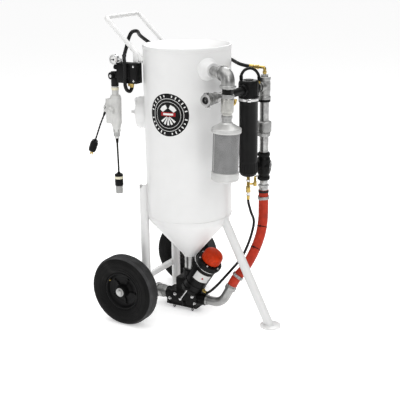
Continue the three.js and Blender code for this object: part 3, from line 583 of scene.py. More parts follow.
tyre_side = surface("tyre_sidewall", "tyre_rubber", (0.004, 0.004, 0.004), 0.62, specular=0.12,
                    mottle=0.35, mottle_scale=8,
                    grain=0.35, grain_scale=350, grain_depth=0.0004, stain=(0.016, 0.0155, 0.015))
tyre_tread = surface("tyre_tread", "tyre_rubber", (0.045, 0.045, 0.046), 0.7, specular=0.15,
                     mottle=0.3, mottle_scale=20,
                     grain=0.6, grain_scale=300, grain_depth=0.0006, stain=(0.03, 0.029, 0.027))
hose_rubber = surface("hose_rubber", "black_rubber", (0.005, 0.005, 0.005), 0.42, specular=0.2,
                      mottle=0.25, grain=0.3, grain_scale=500)
patterned(hose_rubber, "bands", 0.0035, 0.0002, direction="Y")
seal_rubber = surface("seal_rubber", "black_rubber", (0.012, 0.012, 0.012), 0.7, mottle=0.3, grain=0.3,
                      specular=0.3)
red_hose = surface("red_hose_cover", "red_rubber", (0.46, 0.034, 0.014), 0.5, specular=0.2,
                   mottle=0.16, mottle_scale=30,
                   grain=0.4, grain_scale=380, grain_depth=0.0003, stain=(0.30, 0.034, 0.02))
patterned(red_hose, "bands", 0.006, 0.0004, direction="DIAGONAL")
orange = surface("orange_cap", "orange_plastic", (0.50, 0.030, 0.002), 0.4, specular=0.15,
                 mottle=0.2, mottle_scale=45,
                 grain=0.6, grain_scale=160, grain_depth=0.0008, stain=(0.42, 0.05, 0.006), stain_scale=30)
bright = surface("bright_steel", "bright_steel", (0.66, 0.66, 0.66), 0.18, metal=1.0, mottle=0.05,
                 rough_spread=0.05)
brass = surface("brass_fitting", "brass", (0.50, 0.36, 0.11), 0.26, metal=1.0, mottle=0.15, mottle_scale=60,
                stain=(0.30, 0.21, 0.07))
warm_steel = surface("yellow_zinc", "warm_steel", (0.46, 0.455, 0.43), 0.30, metal=0.95, mottle=0.16,
                     mottle_scale=40, grain=0.3, grain_scale=220, grain_depth=0.0004)
cast_grey = surface("grey_casting", "grey_casting", (0.60, 0.60, 0.585), 0.46, metal=0.2, mottle=0.1,
                    mottle_scale=30, grain=0.6, grain_scale=300, grain_depth=0.0006)
silencer_paint = surface("silencer_cap", "grey_casting", (0.55, 0.55, 0.54), 0.36, metal=0.5, mottle=0.08,
                         mottle_scale=20, grain=0.2)
silencer_mesh = surface("silencer_mesh", "grey_casting", (0.30, 0.30, 0.30), 0.42, metal=0.7, mottle=0.1,
                        mottle_scale=16, grain=0.2)
patterned(silencer_mesh, "holes", 0.0052, 0.0008, tint=(0.03, 0.03, 0.03))
paper = surface("filter_paper", "filter_paper", (0.80, 0.76, 0.62), 0.9, mottle=0.08)
decal_black = surface("decal_black", "black_plastic", (0.004, 0.004, 0.0042), 0.35, mottle=0.2, specular=0.14)
decal_white = surface("decal_white", "white_paint", (0.76, 0.76, 0.75), 0.35, mottle=0.02)
decal_red = surface("decal_red", "red_rubber", (0.34, 0.012, 0.016), 0.4, mottle=0.1, specular=0.2)
dial_face = surface("dial_face", "white_paint", (0.82, 0.82, 0.81), 0.4, mottle=0.01)
label = surface("valve_label", "white_paint", (0.66, 0.66, 0.65), 0.4, mottle=0.03)
clear_grey = surface("clear_shell", "black_plastic", (0.36, 0.36, 0.35), 0.2, mottle=0.1)
cream = surface("cream_insert", "white_paint", (0.72, 0.68, 0.52), 0.5, mottle=0.06)

# ---------------------------------------------------------------- vessel


def dish_height(radius):
    return RIM_Z - DISH_DEPTH * (1 - (radius / DISH_R) ** 2)


def weld_bead(shape, route, radius, closed=True):
    """A weld's rippled bead along a route."""
    shape.tube(route, radius, 10, closed=closed,
               radius_at=lambda run, angle: radius * (1 + 0.10 * sin(run * 1.7)))


def ring_route(radius, height, count=160):
    return [
        Vector((radius * cos(2 * pi * i / count), radius * sin(2 * pi * i / count), height))
        for i in range(count)
    ]


def vessel_weld(shape, start, aim, tube_radius, bead):
    """The bead where a round tube meets the shell: each line of the tube is followed to the shell."""
    aim = Vector(aim).normalized()
    side = aim.cross(UP if abs(aim.z) < 0.9 else Vector((1, 0, 0))).normalized()
    other = aim.cross(side)
    route = []
    for angle in turns(48):
        spot = Vector(start) + toward(side, other, angle) * tube_radius
        a = aim.x**2 + aim.y**2
        b = 2 * (spot.x * aim.x + spot.y * aim.y)
        c = spot.x**2 + spot.y**2 - VESSEL_R**2
        root = b * b - 4 * a * c
        if a < 1e-9 or root < 0:
            return
        route.append(spot + aim * ((-b - math.sqrt(root)) / (2 * a)))
    weld_bead(shape, route, bead)


def build_vessel():
    skirt = RIM_Z - RIM_BAND - 0.3
    shell = Shape().band(VESSEL_R - WALL, VESSEL_R, SEAM_Z, skirt, sides=192)
    nozzle = [
        (PIPE_R + 1, VESSEL_R - 12), (40, VESSEL_R - 12), (58, VESSEL_R - 8), (56, VESSEL_R + 2),
        (48, VESSEL_R + 8), (41, VESSEL_R + 16), (38.5, NOZZLE_END - 30), (38, NOZZLE_END),
        (PIPE_R + 1, NOZZLE_END),
    ]
    shell.lathe(nozzle, (0, 0, EXHAUST.z), EXHAUST_OUT, 64, soft=5)
    shell.make("shell", white, stands_for="vessel_shell")

    upper = [(DISH_R + (PORT_R - DISH_R) * i / 24, dish_height(DISH_R + (PORT_R - DISH_R) * i / 24))
             for i in range(25)]
    lower = [(radius, height - WALL) for radius, height in reversed(upper)]
    lip = VESSEL_R + 1.5
    head = Shape().lathe(
        [(lip - 1, RIM_Z - RIM_BAND), (lip, RIM_Z - RIM_BAND + 1.5), (lip, RIM_Z - 4), (lip - 1.2, RIM_Z - 1),
         (lip - 3, RIM_Z), (DISH_R + 1.5, RIM_Z)] + upper + lower + [(DISH_R, RIM_Z - RIM_BAND)], sides=192)
    weld_bead(head, ring_route(VESSEL_R + 0.2, RIM_Z - RIM_BAND - 0.6), 1.8)
    head.make("filling_head", white, stands_for="top_head")

    knuckle = [
        (VESSEL_R, SEAM_Z - 0.3), (VESSEL_R - 1.2, SEAM_Z - 10), (VESSEL_R - 4, SEAM_Z - 22),
        (VESSEL_R - 8.5, SEAM_Z - 32), (CONE_KNEE_R, SEAM_Z - CONE_KNEE_DROP),
    ]
    outer = knuckle + [(OUTLET_R + 4, OUTLET_Z + 8), (OUTLET_R, OUTLET_Z)]
    inner = [(radius - 6, height + (0 if i in (0, len(outer) - 1) else 2))
             for i, (radius, height) in enumerate(outer)][::-1]
    cone = Shape().lathe(outer + inner, sides=192)
    weld_bead(cone, ring_route(VESSEL_R - 0.6, SEAM_Z), 3.0)
    weld_bead(cone, ring_route(31.5, OUTLET_Z - 1, 40), 3.0)
    cone.make("cone", white, stands_for="bottom_cone", sharp=30)


def build_filling_valve():
    refined("popup_gasket", seal_rubber, 1.5)
    refined("popup_guide_pipe", galvanised, 0.6)
    node_low, node_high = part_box("popup_plunger")
    tip = node_high.z / MM
    base = tip - 28
    plunger = Shape().lathe(
        [(0, tip), (6, tip - 2.5), (37, base + 2), (38, base), (38, base - 6), (17, base - 14),
         (17, node_low.z / MM), (13, node_low.z / MM), (13, base - 10), (0, base - 10)], sides=72, soft=1.5)
    plunger.make("filling_plunger", seal_rubber, "popup_plunger", "popup_plunger")


def build_handway():
    centre = (0, 0, HANDWAY_Z)
    aim = rear_turn(HANDWAY_TURN)
    ring = Shape().band(HANDWAY_R - 10, HANDWAY_R, VESSEL_R - 28, HANDWAY_FACE, centre, aim, 96, soft=2)
    vessel_weld(ring, Vector(centre) + aim * (VESSEL_R + 60), -aim, HANDWAY_R + 1, 5)
    ring.make("handway_neck", white, stands_for="handway_ring")
    refined("handway_gasket", seal_rubber, 0.5)
    refined("handway_cover", white, 0.8)
    refined("handway_yoke", white, 3.0)
    nut_start = HANDWAY_FACE + 14.6
    nut = Shape().hexagon(centre, aim, 25.5, nut_start, nut_start + 14.5, 1.2)
    nut.band(0, 14.4, 0, 2, Vector(centre) + aim * (nut_start - 0.2), aim, 32, 0.4)
    nut.make("cover_nut", white, "handway_nut", "handway_nut")
    threads = Shape().lathe(
        stepped([(8 if i % 2 else 7.2, 1.2) for i in range(20)], HANDWAY_FACE + 20), centre, aim, 24)
    threads.make("cover_stud_thread", white)


def on_shell(turn, across, height, lift):
    """A point just off the shell, from a distance round it and a height."""
    around = turn + across / VESSEL_R
    out = VESSEL_R + lift
    return Vector((-out * sin(around), -out * cos(around), height))


def shell_disc(shape, turn, centre_z, radius, lift, rings=10, sides=96, inner=0.0):
    """A round patch that lies on the shell; inner is the share of its radius that is left open."""
    grid = []
    for k in range(rings + 1):
        reach = radius * (inner + (1 - inner) * k / rings)
        spots = [on_shell(turn, reach * cos(a), centre_z + reach * sin(a), lift) for a in turns(sides)]
        grid.append([shape.mesh.verts.new(spot) for spot in spots])
    for low, high in zip(grid, grid[1:]):
        for i in range(sides):
            j = (i + 1) % sides
            shape.face([low[i], low[j], high[j], high[i]])
    if inner == 0.0:
        bmesh.ops.remove_doubles(shape.mesh, verts=grid[0], dist=1e-5)


def shell_panel(shape, turn, centre_z, outline, lift, steps=8):
    """A flat outline of (across, height) points, wrapped on the shell as a fan of thin strips."""
    count = len(outline)
    middle = (sum(p[0] for p in outline) / count, sum(p[1] for p in outline) / count)

    def spot(across, height):
        return on_shell(turn, across, centre_z + height, lift)

    edge = []
    for i in range(count):
        (x0, y0), (x1, y1) = outline[i], outline[(i + 1) % count]
        edge += [(x0 + (x1 - x0) * k / steps, y0 + (y1 - y0) * k / steps) for k in range(steps)]
    rings = [[shape.mesh.verts.new(spot(middle[0] + (x - middle[0]) * s, middle[1] + (y - middle[1]) * s))
              for x, y in edge] for s in (0.02, 0.35, 0.7, 1.0)]
    for low, high in zip(rings, rings[1:]):
        for i in range(len(edge)):
            j = (i + 1) % len(edge)
            shape.face([low[i], low[j], high[j], high[i]])
    shape.face(rings[0])


def build_decal():
    """Round sticker: black disc with white rings and a plain spray fan, all of generic shapes."""
    turn = radians(84.8)
    height = 1144
    radius = 114

    def disc(name, material, edge, lift, inner=0.0):
        shape = Shape()
        shell_disc(shape, turn, height, edge, lift, inner=inner, rings=4 if inner else 10)
        shape.make(name, material)

    disc("sticker_edge", decal_white, radius, 0.25)
    disc("sticker_field", decal_black, radius - 5, 0.5)
    disc("sticker_ring", decal_white, radius - 30, 0.75, inner=0.972)
    disc("sticker_inner_ring", decal_white, radius - 46, 0.75, inner=0.975)
    marks = Shape()
    for i in range(28):
        angle = 2 * pi * i / 28
        if i % 7 == 0:
            continue
        reach, half = radius - 17.5, 3.0
        long = 7 if i % 2 else 5
        c, s = cos(angle), sin(angle)
        outline = [(c * (reach + a) - s * b, s * (reach + a) + c * b)
                   for a, b in ((-long, -half), (-long, half), (long, half), (long, -half))]
        shell_panel(marks, turn, height, outline, 0.75, 2)
    for side in (-1, 1):
        wing = [(side * 4, 34), (side * 30, 14), (side * 46, 26), (side * 34, 42), (side * 14, 52)]
        shell_panel(marks, turn, height, wing if side < 0 else wing[::-1], 0.75, 3)
    for k in range(5):
        slope = radians(-90 + (k - 2) * 24)
        c, s = cos(slope), sin(slope)
        ray = [(c * a - s * b, s * a + c * b - 2) for a, b in ((10, -1.5), (10, 1.5), (50, 6), (50, -6))]
        shell_panel(marks, turn, height, ray, 0.75, 3)
    marks.make("sticker_marks", decal_white)
    panel = Shape()
    shell_panel(panel, turn, height, [(-40, -6), (40, -6), (40, 14), (-40, 14)], 0.9, 6)
    panel.make("sticker_bar", decal_red)
    drop = Shape()
    shell_panel(drop, turn, height, [(-28, -1), (28, -1), (28, 9), (-28, 9)], 1.1, 6)
    drop.make("sticker_bar_core", decal_white)


# ---------------------------------------------------------------- frame


def build_frame():
    for node in ("near_upright", "far_upright", "cross_tube"):
        refined(node, white, 0.8, 30)
    welds = Shape()
    reach = UPRIGHT_OUTER_R
    for side in (-1, 1):
        for inward in (-1, 1):
            x = side * UPRIGHT_X
            edge = Vector((x, UPRIGHT_Y, 0))
            middle = math.atan2(-edge.y, -edge.x)
            distance = edge.length
            cosine = (distance**2 + reach**2 - VESSEL_R**2) / (2 * distance * reach)
            angle = middle + inward * math.acos(max(-1, min(1, cosine)))
            foot = edge + Vector((cos(angle), sin(angle), 0)) * (reach + 0.5)
            weld_bead(welds, [foot + UP * z for z in range(int(SEAM_Z), 736, 6)], 2.6, closed=False)
        seam = []
        for i in range(25):
            angle = radians(95 + 170 * i / 24)
            y = AXLE_Y + CROSS_TUBE_R * cos(angle)
            x = side * (UPRIGHT_X - math.sqrt(max(reach**2 - (y - UPRIGHT_Y) ** 2, 0)))
            seam.append(Vector((x, y, AXLE_Z + CROSS_TUBE_R * sin(angle))))
        weld_bead(welds, seam, 2.4, closed=False)
    leg_foot = Vector((0, LEG_FOOT_Y, 8))
    leg_aim = (Vector((0, -203, 583)) - Vector((0, LEG_FOOT_Y, 0))).normalized()
    collar = []
    for angle in turns(36):
        spot = Vector((25 * cos(angle), 0, 0)) + Vector((0, sin(angle), 0)) * (25 / leg_aim.z)
        collar.append(leg_foot + spot + Vector((0, 8 * leg_aim.y / leg_aim.z, 0.5)))
    weld_bead(welds, collar, 2.6)
    arm_aim = Vector((0, 154 - HANDLE_Y, 1380 - HANDLE_Z)).normalized()
    for x in (-HANDLE_X, HANDLE_X):
        vessel_weld(welds, Vector((x, HANDLE_Y, HANDLE_Z)), arm_aim, 13.2, 2.6)
    welds.make("frame_welds", white)
    refined("front_leg", white, 0.8, 30)

    corners = [
        (-HANDLE_X, HANDLE_ROOT_Y, HANDLE_ROOT_Z), (-HANDLE_X, HANDLE_Y, HANDLE_Z),
        (HANDLE_X, HANDLE_Y, HANDLE_Z), (HANDLE_X, HANDLE_ROOT_Y, HANDLE_ROOT_Z),
    ]
    route = bent_route(corners, 26, 12)
    handle = Shape().tube(route, 12.3, 32)
    handle.block((-168.3, 192, 1382.5), (-162.5, 222, 1437), 1.2)
    handle.block((-168.3, 192, 1382.5), (-130.7, 222, 1388.3), 1.2)
    handle.make("push_bar", white, stands_for="push_handle")
    plate_bolts = Shape()
    for x in (-158, -141):
        plate_bolts.bolt((x, 207, 1388.3), UP, 9, 6)
    plate_bolts.make("bracket_bolts", bright)

    axle = Shape().rod((-387, AXLE_Y, AXLE_Z), (387, AXLE_Y, AXLE_Z), 12.4, 40, 2)
    axle.make("axle_bar", galvanised, stands_for="axle")


# ---------------------------------------------------------------- wheels


def build_wheel(prefix, side):
    centre = Vector((side * WHEEL_X, AXLE_Y, AXLE_Z))
    out = Vector((side, 0, 0))
    lip = TYRE_HALF - 13
    half_profile = [
        (RIM_R, -lip), (RIM_R + 6, -lip - 5), (RIM_R + 14, -lip - 9), (RIM_R + 24, -TYRE_HALF + 2.5),
        (RIM_R + 40, -TYRE_HALF + 0.4), (TYRE_R - 34, -TYRE_HALF), (TYRE_R - 18, -TYRE_HALF + 3),
        (TYRE_R - 9, -TYRE_HALF + 8.5),
    ]
    side_wall = half_profile + [(TYRE_R - 14, 0)] + [(r, -h) for r, h in reversed(half_profile)]
    wall = Shape().lathe(side_wall, centre, out, 120, soft=4)
    for radius in (RIM_R + 18, RIM_R + 32, TYRE_R - 30):
        for face in (-1, 1):
            reach = TYRE_HALF - (2.9 if radius < RIM_R + 20 else 0.9 if radius < RIM_R + 40 else 0.6)
            ring = [centre + out * (face * reach) + Vector((0, radius * cos(a), radius * sin(a)))
                    for a in turns(110)]
            wall.tube(ring, 1.0, 8, closed=True)
    wall.make(f"{prefix}_tyre_wall", tyre_side, f"{prefix}_wheel", f"{prefix}_tyre")

    tread = Shape()
    grooves = 5
    edge = TYRE_HALF - 9
    bottom = TYRE_R - 6
    outline = [(TYRE_R - 16, -edge - 1.5), (TYRE_R - 8.5, -edge - 0.4), (TYRE_R - 2, -edge + 13)]
    step = (2 * edge - 30) / grooves
    for k in range(grooves):
        start = -edge + 15 + k * step
        outline += [(TYRE_R, start), (TYRE_R, start + step * 0.64), (bottom, start + step * 0.70),
                    (bottom, start + step * 0.94)]
    outline += [(TYRE_R, edge - 15), (TYRE_R - 2, edge - 13), (TYRE_R - 8.5, edge + 0.4),
                (TYRE_R - 16, edge + 1.5)]
    tread.lathe(outline, centre, out, 180)
    tread.make(f"{prefix}_tread", tyre_tread, f"{prefix}_wheel", sharp=25)
    rim = Shape()
    flange = RIM_R - 0.3
    face = [
        (12.9, -HUB_HALF), (HUB_R - 4, -HUB_HALF), (HUB_R, -47), (HUB_R + 4, -14), (HUB_R + 14, -11),
        (58, -11), (66, -14), (78, -13), (88, -17), (93, -lip + 3), (97, -lip - 2.5), (flange, -lip - 1),
    ]
    rim.lathe(face + [(r, -h) for r, h in reversed(face)], centre, out, 96, soft=2.5)
    rim.make(f"{prefix}_rim_disc", black_plastic, f"{prefix}_wheel", f"{prefix}_rim")

    ribs = Shape()
    for face_side in (-1, 1):
        for i in range(5):
            angle = 2 * pi * (i + 0.35) / 5
            spot = spun(centre, angle, "X")
            low, high = sorted((face_side * 12, face_side * 20))
            ribs.block((low, -5, 38), (high, 5, 62), 1.5, spot)
            bolt_at = spot @ Vector((face_side * 12.5, 0, 72))
            ribs.bolt(bolt_at, (face_side, 0, 0), 13, 8)
    ribs.make(f"{prefix}_rim_ribs", black_plastic, f"{prefix}_wheel")
    hub_end = centre + out * HUB_HALF
    cap = Shape().band(12.9, 24, 0, 2.4, hub_end, out, 40, 0.6)
    cap.make(f"{prefix}_hub_washer", galvanised, f"{prefix}_wheel")
    Shape().band(12.5, 17, 0, 5.5, hub_end + out * 2.8, out, 6, 0.8).make(f"{prefix}_axle_nut", galvanised)
    stem = centre + Vector((0, 70, 52))
    valve = Shape().rod(stem + out * 20, stem + out * 40, 2.8, 12)
    valve.make(f"{prefix}_tyre_valve", brass, f"{prefix}_wheel")


# ---------------------------------------------------------------- metering valve


def build_metering_valve():
    nipple = Shape().band(26.2, 30.1, 243, OUTLET_Z - 0.6, sides=64, soft=0.6)
    nipple.make("outlet_pipe", galvanised, stands_for="outlet_nipple")
    refined("metering_body", black_iron, 3.0, 34)
    refined("cleanout_plate", black_iron, 1.5)

    body = Shape()
    body.lathe([(30.6, 0), (41, 0), (42, 3), (42, 22), (38, 28), (30.6, 28)], (0, 0, 214), UP, 8, 1.5)
    for t in (80, 118, 236):
        body.band(BARREL_R - 3, BARREL_R + 2.2, 0, 6,
                   on_barrel(t), BARREL_AIM, 72, 1)
    for y in (-96, -86, -76, -66):
        body.band(29, 33.6, 0, 5, (0, y - 2, RUN_Z), (0, 1, 0), 48, 1.2)
    body.band(29, 35, 0, 12, (0, 136, RUN_Z), (0, 1, 0), 48, 1.5)
    for y, z in ((-52, 34), (118, 34), (20, 34)):
        for x in (-44, 44):
            body.rod((x, y, 26), (x, y, 52), 8, 20, 1.5)
    body.make("valve_ribs", black_iron)

    Shape().band(BARREL_R + 0.2, BARREL_R + 5.5, 0, 3.4,
                  on_barrel(248), BARREL_AIM, 96, 0.8).make("bonnet_clamp_ring", bright)
    sticker = Shape()
    side = Vector((-1, 0, 0))
    other = BARREL_AIM.cross(side)
    grid = []
    for k in range(2):
        row = []
        for i in range(25):
            angle = radians(-12 + 84 * i / 24)
            spot = on_barrel(170 + 52 * k)
            row.append(sticker.mesh.verts.new(spot + toward(side, other, angle) * (BARREL_R + 0.5)))
        grid.append(row)
    for i in range(24):
        sticker.face([grid[0][i], grid[0][i + 1], grid[1][i + 1], grid[1][i]])
    sticker.make("valve_label_sheet", label)
    spot_mark = Shape()
    angle = radians(34)
    out = toward(side, other, angle).normalized()
    spot_mark.band(0, 9, 0, 0.5, on_barrel(196) + out * (BARREL_R + 0.7), out, 3)
    spot_mark.make("valve_label_mark", decal_red)

    bolts = Shape()
    for y, z in ((-34, 92), (78, 88), (112, 56), (-50, 52)):
        for facing in (-1, 1):
            bolts.bolt((42 * facing, y, z), (facing, 0, 0), 13, 8)
    for y in (-44, 40, 118):
        for x in (-34, 34):
            bolts.bolt((x, y, 21.5), (0, 0, -1), 11, 7)
    bolts.make("valve_bolts", bright)
    for name, y in (("front_wing_bolt", -30), ("rear_wing_bolt", 88)):
        wing = Shape().rod((-30, y, 26), (-30, y, 18), 4, 16)
        eye = [Vector((-30 + 11 * cos(a), y, 6 + 9 * sin(a)))
               for a in turns(32)]
        wing.tube([p + UP * 8 for p in eye], 3, 12, closed=True)
        wing.make(name, black_iron)

    bonnet = Shape()
    bonnet.lathe([(14, 258.3), (BARREL_R, 258.3), (70, 260), (73, 263), (73, 282), (70, 287), (58, 288.3),
                  (14, 288.3)],
                 BARREL_ROOT, BARREL_AIM, 96, 1.2)
    bonnet.make("bonnet_cover", black_iron, stands_for="metering_bonnet")
    studs = Shape()
    for i in range(6):
        angle = 2 * pi * i / 6 + 0.3
        out = toward(side, other, angle)
        studs.bolt(on_barrel(286) + out * 64.5, BARREL_AIM, 9, 5.5)
    studs.make("bonnet_bolts", bright)

    def grip(angle, height):
        return -1.6 * max(0.0, cos(angle * 20)) if 292 < height < 332 else 0

    knob = Shape().lathe(
        [(0, 288.7), (50, 288.7), (54.4, 291), (54.8, 295), (54.8, 302), (54.8, 310), (54.8, 318),
         (54.6, 326),
         (52.6, 334), (48, 341.5), (40, 347.5), (26, 352), (0, 353.4)], BARREL_ROOT, BARREL_AIM, 160,
         ripple=grip)
    knob.make("orange_knob", orange, "metering_knob", "metering_knob", sharp=50)
    refined("metering_plunger", galvanised, 0.8)
    spring = Shape()
    coils, low, high = 7, 166, 252
    coil = []
    for i in range(coils * 28 + 1):
        angle = 2 * pi * i / 28
        spot = on_barrel(low + (high - low) * i / (coils * 28))
        coil.append(spot + toward(side, other, angle) * 19)
    spring.tube(coil, 3.2, 10)
    spring.make("return_spring", bright, stands_for="metering_spring")
    refined("cleanout_lever", bright, 1.2)
    grip_ball = Shape()
    foot = Vector((-42.3 + 6 - 34, 25, 78))
    tip = foot + Vector((0, -46, 66))
    grip_ball.lathe([(0, -7), (4, -6.5), (6.6, -3), (7.2, 0), (6.6, 3), (4, 6.5), (0, 7)], tip, tip - foot,
                    32)
    grip_ball.make("lever_grip", black_plastic, "cleanout_lever")


def claw(shape, end, aim, radius, reach):
    """Two hooked lugs of a quick claw coupling on its end face."""
    aim = Vector(aim).normalized()
    for half in (0, 1):
        spot = Matrix.Translation(Vector(end)) @ turned_to(aim) @ Matrix.Rotation(pi * half, 4, "Z")
        shape.block((radius - 3, -8, -reach), (radius + 7, 8, -2), 2.0, spot)
        shape.block((radius - 12, -10, -7), (radius + 3, 10, -1), 1.6, spot)


def build_blast_coupling():
    refined("blast_hose_coupling", malleable, 1.6)
    extra = Shape()
    for t in (156, 163, 205):
        extra.band(29, 32.5, 0, 4, (0, t, RUN_Z), (0, 1, 0), 40, 1)
    extra.hexagon((0, 176, RUN_Z), (0, 1, 0), 70, 0, 18, 2.0, 8)
    extra.make("coupling_collars", malleable)
    Shape().band(20.2, 29, 0, 3.4, (0, 223.4, RUN_Z), (0, 1, 0), 40, 0.8).make("coupling_seal", seal_rubber)


# ---------------------------------------------------------------- pusher line

ELBOW_CORNER = Vector((0, -196, RUN_Z))
ELBOW_END = Vector((24, -250, 182))
ELBOW_AIM = (ELBOW_END - ELBOW_CORNER).normalized()
HOSE_POINTS = [
    ELBOW_END, ELBOW_END + ELBOW_AIM * 40, (62, -303, 272), (92, -322, 318), (134, -339, 382),
    (176, -346, 450),
    (201, -346, 520), (207, -345, 590), (207, -345, 650), (207, -345, 688),
]


def thread(shape, origin, aim, radius, length, pitch=1.8):
    """A short run of pipe thread, as rings."""
    steps = [(radius if i % 2 else radius - 0.7, pitch / 2) for i in range(int(2 * length / pitch))]
    shape.lathe(stepped(steps), origin, aim, 32)


def band_clamp(name, spot, aim, radius, node):
    """Double bolt hose clamp: two half bands, their ears and two bolts across them."""
    shape = Shape()
    for shift in (-5.4, 0, 5.4):
        shape.band(radius + 1.6, radius + 5.6, -2.2, 2.2,
                    spot + aim * shift, aim, 48, 0.8)
    matrix = Matrix.Translation(spot) @ turned_to(aim)
    for side in (-1, 1):
        for half in (-1, 1):
            low = (min(side * 31, side * 45.5), min(half * 2.5, half * 6.8), -7.8)
            high = (max(side * 31, side * 45.5), max(half * 2.5, half * 6.8), 7.8)
            shape.block(low, high, 1.2, matrix)
    shape.make(name, galvanised, stands_for=node)
    bolts = Shape()
    turn = matrix.to_quaternion()
    for side in (-1, 1):
        start = matrix @ Vector((side * 39, -9.5, 0))
        end = matrix @ Vector((side * 39, 9.5, 0))
        bolts.rod(start, end, 3, 14)
        for half in (1, -1):
            spot = matrix @ Vector((side * 39, half * 6.8, 0))
            bolts.hexagon(spot, turn @ Vector((0, half, 0)), 9, 0, 4, 0.4)
    bolts.make(name + "_bolts", bright)


def build_pusher_line():
    refined("inlet_elbow", malleable, 2.0, 45)
    bands = Shape().band(25, 29.5, 0, 12, (0, -112, RUN_Z), (0, 1, 0), 40, 2)
    bands.hexagon(ELBOW_END - ELBOW_AIM * 29, ELBOW_AIM, 59, 0, 19, 1.5, 8)
    bands.make("elbow_bands", malleable)

    route = smooth_route(HOSE_POINTS, 14)
    Shape().tube(route, 26.8, 48).make("pusher_hose_cover", red_hose, stands_for="pusher_hose")
    total = route_length(route)
    low_spot, low_aim = along_route(route, 60)
    high_spot, high_aim = along_route(route, 0.925 * total)
    band_clamp("lower_clamp", low_spot, low_aim, HOSE_R, "lower_hose_clamp")
    band_clamp("upper_clamp", high_spot, high_aim, HOSE_R, "upper_hose_clamp")
    Shape().band(27.0, 28.4, 0, 13, route[-1] - UP * 14, UP, 48, 0.6).make("hose_end_band", seal_rubber)
    ties = Shape()
    for share in (0.42, 0.64):
        spot, aim = along_route(route, share * total)
        ties.band(27, 28.7, -2, 2, spot, aim, 48, 0.5)
        matrix = Matrix.Translation(spot) @ turned_to(aim)
        ties.block((-33.5, -4, -4), (-26.5, 4, 4), 1, matrix)
        ties.block((-46, -1.6, -1), (-33, 1.6, 1), 0.4, matrix)
    ties.make("cable_ties", black_plastic)

    stem = Shape()
    base = STACK
    stem.lathe(stepped([(24.5, 17)], 688.5), base, UP, 48, 1)
    stem.hexagon(base, UP, 53, 706, 719, 1.6, 6)
    stem.lathe(stepped([(22.5, 24.5)], 719), base, UP, 48, 0.6)
    stem.make("hose_tail", galvanised, stands_for="hose_stem")

    valve = Shape()
    valve.lathe(
        [(0, 744.2), (29, 744.2), (30, 747), (30, 774), (34, 782), (35, 790), (35, 858), (33, 866), (30, 872),
         (30, 894), (28.5, 897.8), (0, 897.8)], base, UP, 72, 1.5)
    aim = rear_turn(radians(15))
    middle = base + UP * 821
    for end in (1, -1):
        valve.lathe([(0, 0), (34, 0), (34, 30), (31, 37.5), (0, 37.5)], middle, aim * end, 56, 2)
    valve.hexagon(base, UP, 66, 748, 764, 2, 8)
    valve.hexagon(base, UP, 66, 878, 892, 2, 8)
    valve.make("blast_valve", black_iron, stands_for="blast_air_valve")
    cap = Shape()
    cross = aim.cross(UP)
    for angle in turns(6):
        for facing in (aim, -aim):
            spot = middle + facing * 36.5 + toward(cross, UP, angle) * 27
            cap.bolt(spot, facing, 5, 2.4, washer=False)
    cap.make("blast_valve_screws", bright)

    pipe = Shape().band(0, 24, 898.5, 985, base, UP, 56, 0.4)
    thread(pipe, base + UP * 899, UP, 24.4, 14)
    pipe.hexagon(base, UP, 66, 985.5, 1006, 1.5, 8)
    pipe.make("lower_stack_pipe", galvanised, stands_for="stack_pipe")

    def knurl(angle, height):
        return -0.7 * (0.5 + 0.5 * cos(angle * 40)) if 1009 < height < 1061 else 0

    union = Shape()
    union.lathe([(24, 1006), (38.6, 1009), (38.6, 1060), (29, 1066.6), (24, 1066.6)], base, UP, 160, 1.5,
                ripple=knurl)
    for z in (1011, 1057):
        union.band(37, 38.9, 0, 3, base + UP * z, UP, 64, 0.5)
    union.make("union_nut", malleable)
    upper = Shape().band(0, 24, 1066.6, 1181, base, UP, 56, 0.4)
    thread(upper, base + UP * 1067, UP, 24.4, 14)
    upper.make("upper_stack_pipe", galvanised)
    Shape().band(24.2, 32, 0, 12, base + UP * 1168.4, UP, 56, 1.2).make("stack_seal_ring", black_plastic)
    build_tee()


def build_tee():
    base = STACK
    stack = base + UP * PORT_Z
    to_filter = Vector((FILTER.x - STACK.x, FILTER.y - STACK.y, 0))
    reach = to_filter.length - FILTER_HEAD_R - 12 - 0.3
    aim = to_filter.normalized()
    tee = Shape().lathe(
        [(0, 1181.5), (33, 1181.5), (33, 1195), (29, 1199), (29, 1212), (31, 1230), (31, 1262), (29, 1282),
         (32, 1285), (32, 1298), (28, 1300), (0, 1300)], base, UP, 64, 1.5)
    tee.lathe([(0, 0), (27, 0), (29, 12), (29, 30), (30, 32), (30, 44), (21, 46), (21, reach), (0, reach)],
              stack, aim, 56, 1.5)
    tee.make("stack_tee", malleable, stands_for="inlet_tee")
    Shape().hexagon(base, UP, 34, 1300, 1313, 1.2).make("tee_bush", galvanised)
    corner = base + UP * 1347
    out = (ELBOW_MOUTH - corner).normalized()
    elbow = Shape().band(0, 8.5, 1313, 1342, base, UP, 32, 0.5)
    elbow.hexagon(base, UP, 19, 1317, 1328, 0.8)
    elbow.tube(bent_route([base + UP * 1330, corner, ELBOW_MOUTH], 9, 8), 8, 24)
    elbow.hexagon(corner + out * 30, out, 22, 0, 9, 0.9)
    elbow.hexagon(corner + out * 42, out, 20, 0, 9, 0.9)
    elbow.make("tee_elbow", brass)
    boss = Shape()
    foot = stack + aim * 46
    boss.rod(foot, foot + UP * 30, 8.8, 24)
    boss.hexagon(foot, UP, 17, 22, 31, 0.8)
    boss.make("link_hose_fitting", brass)


# ---------------------------------------------------------------- air filter


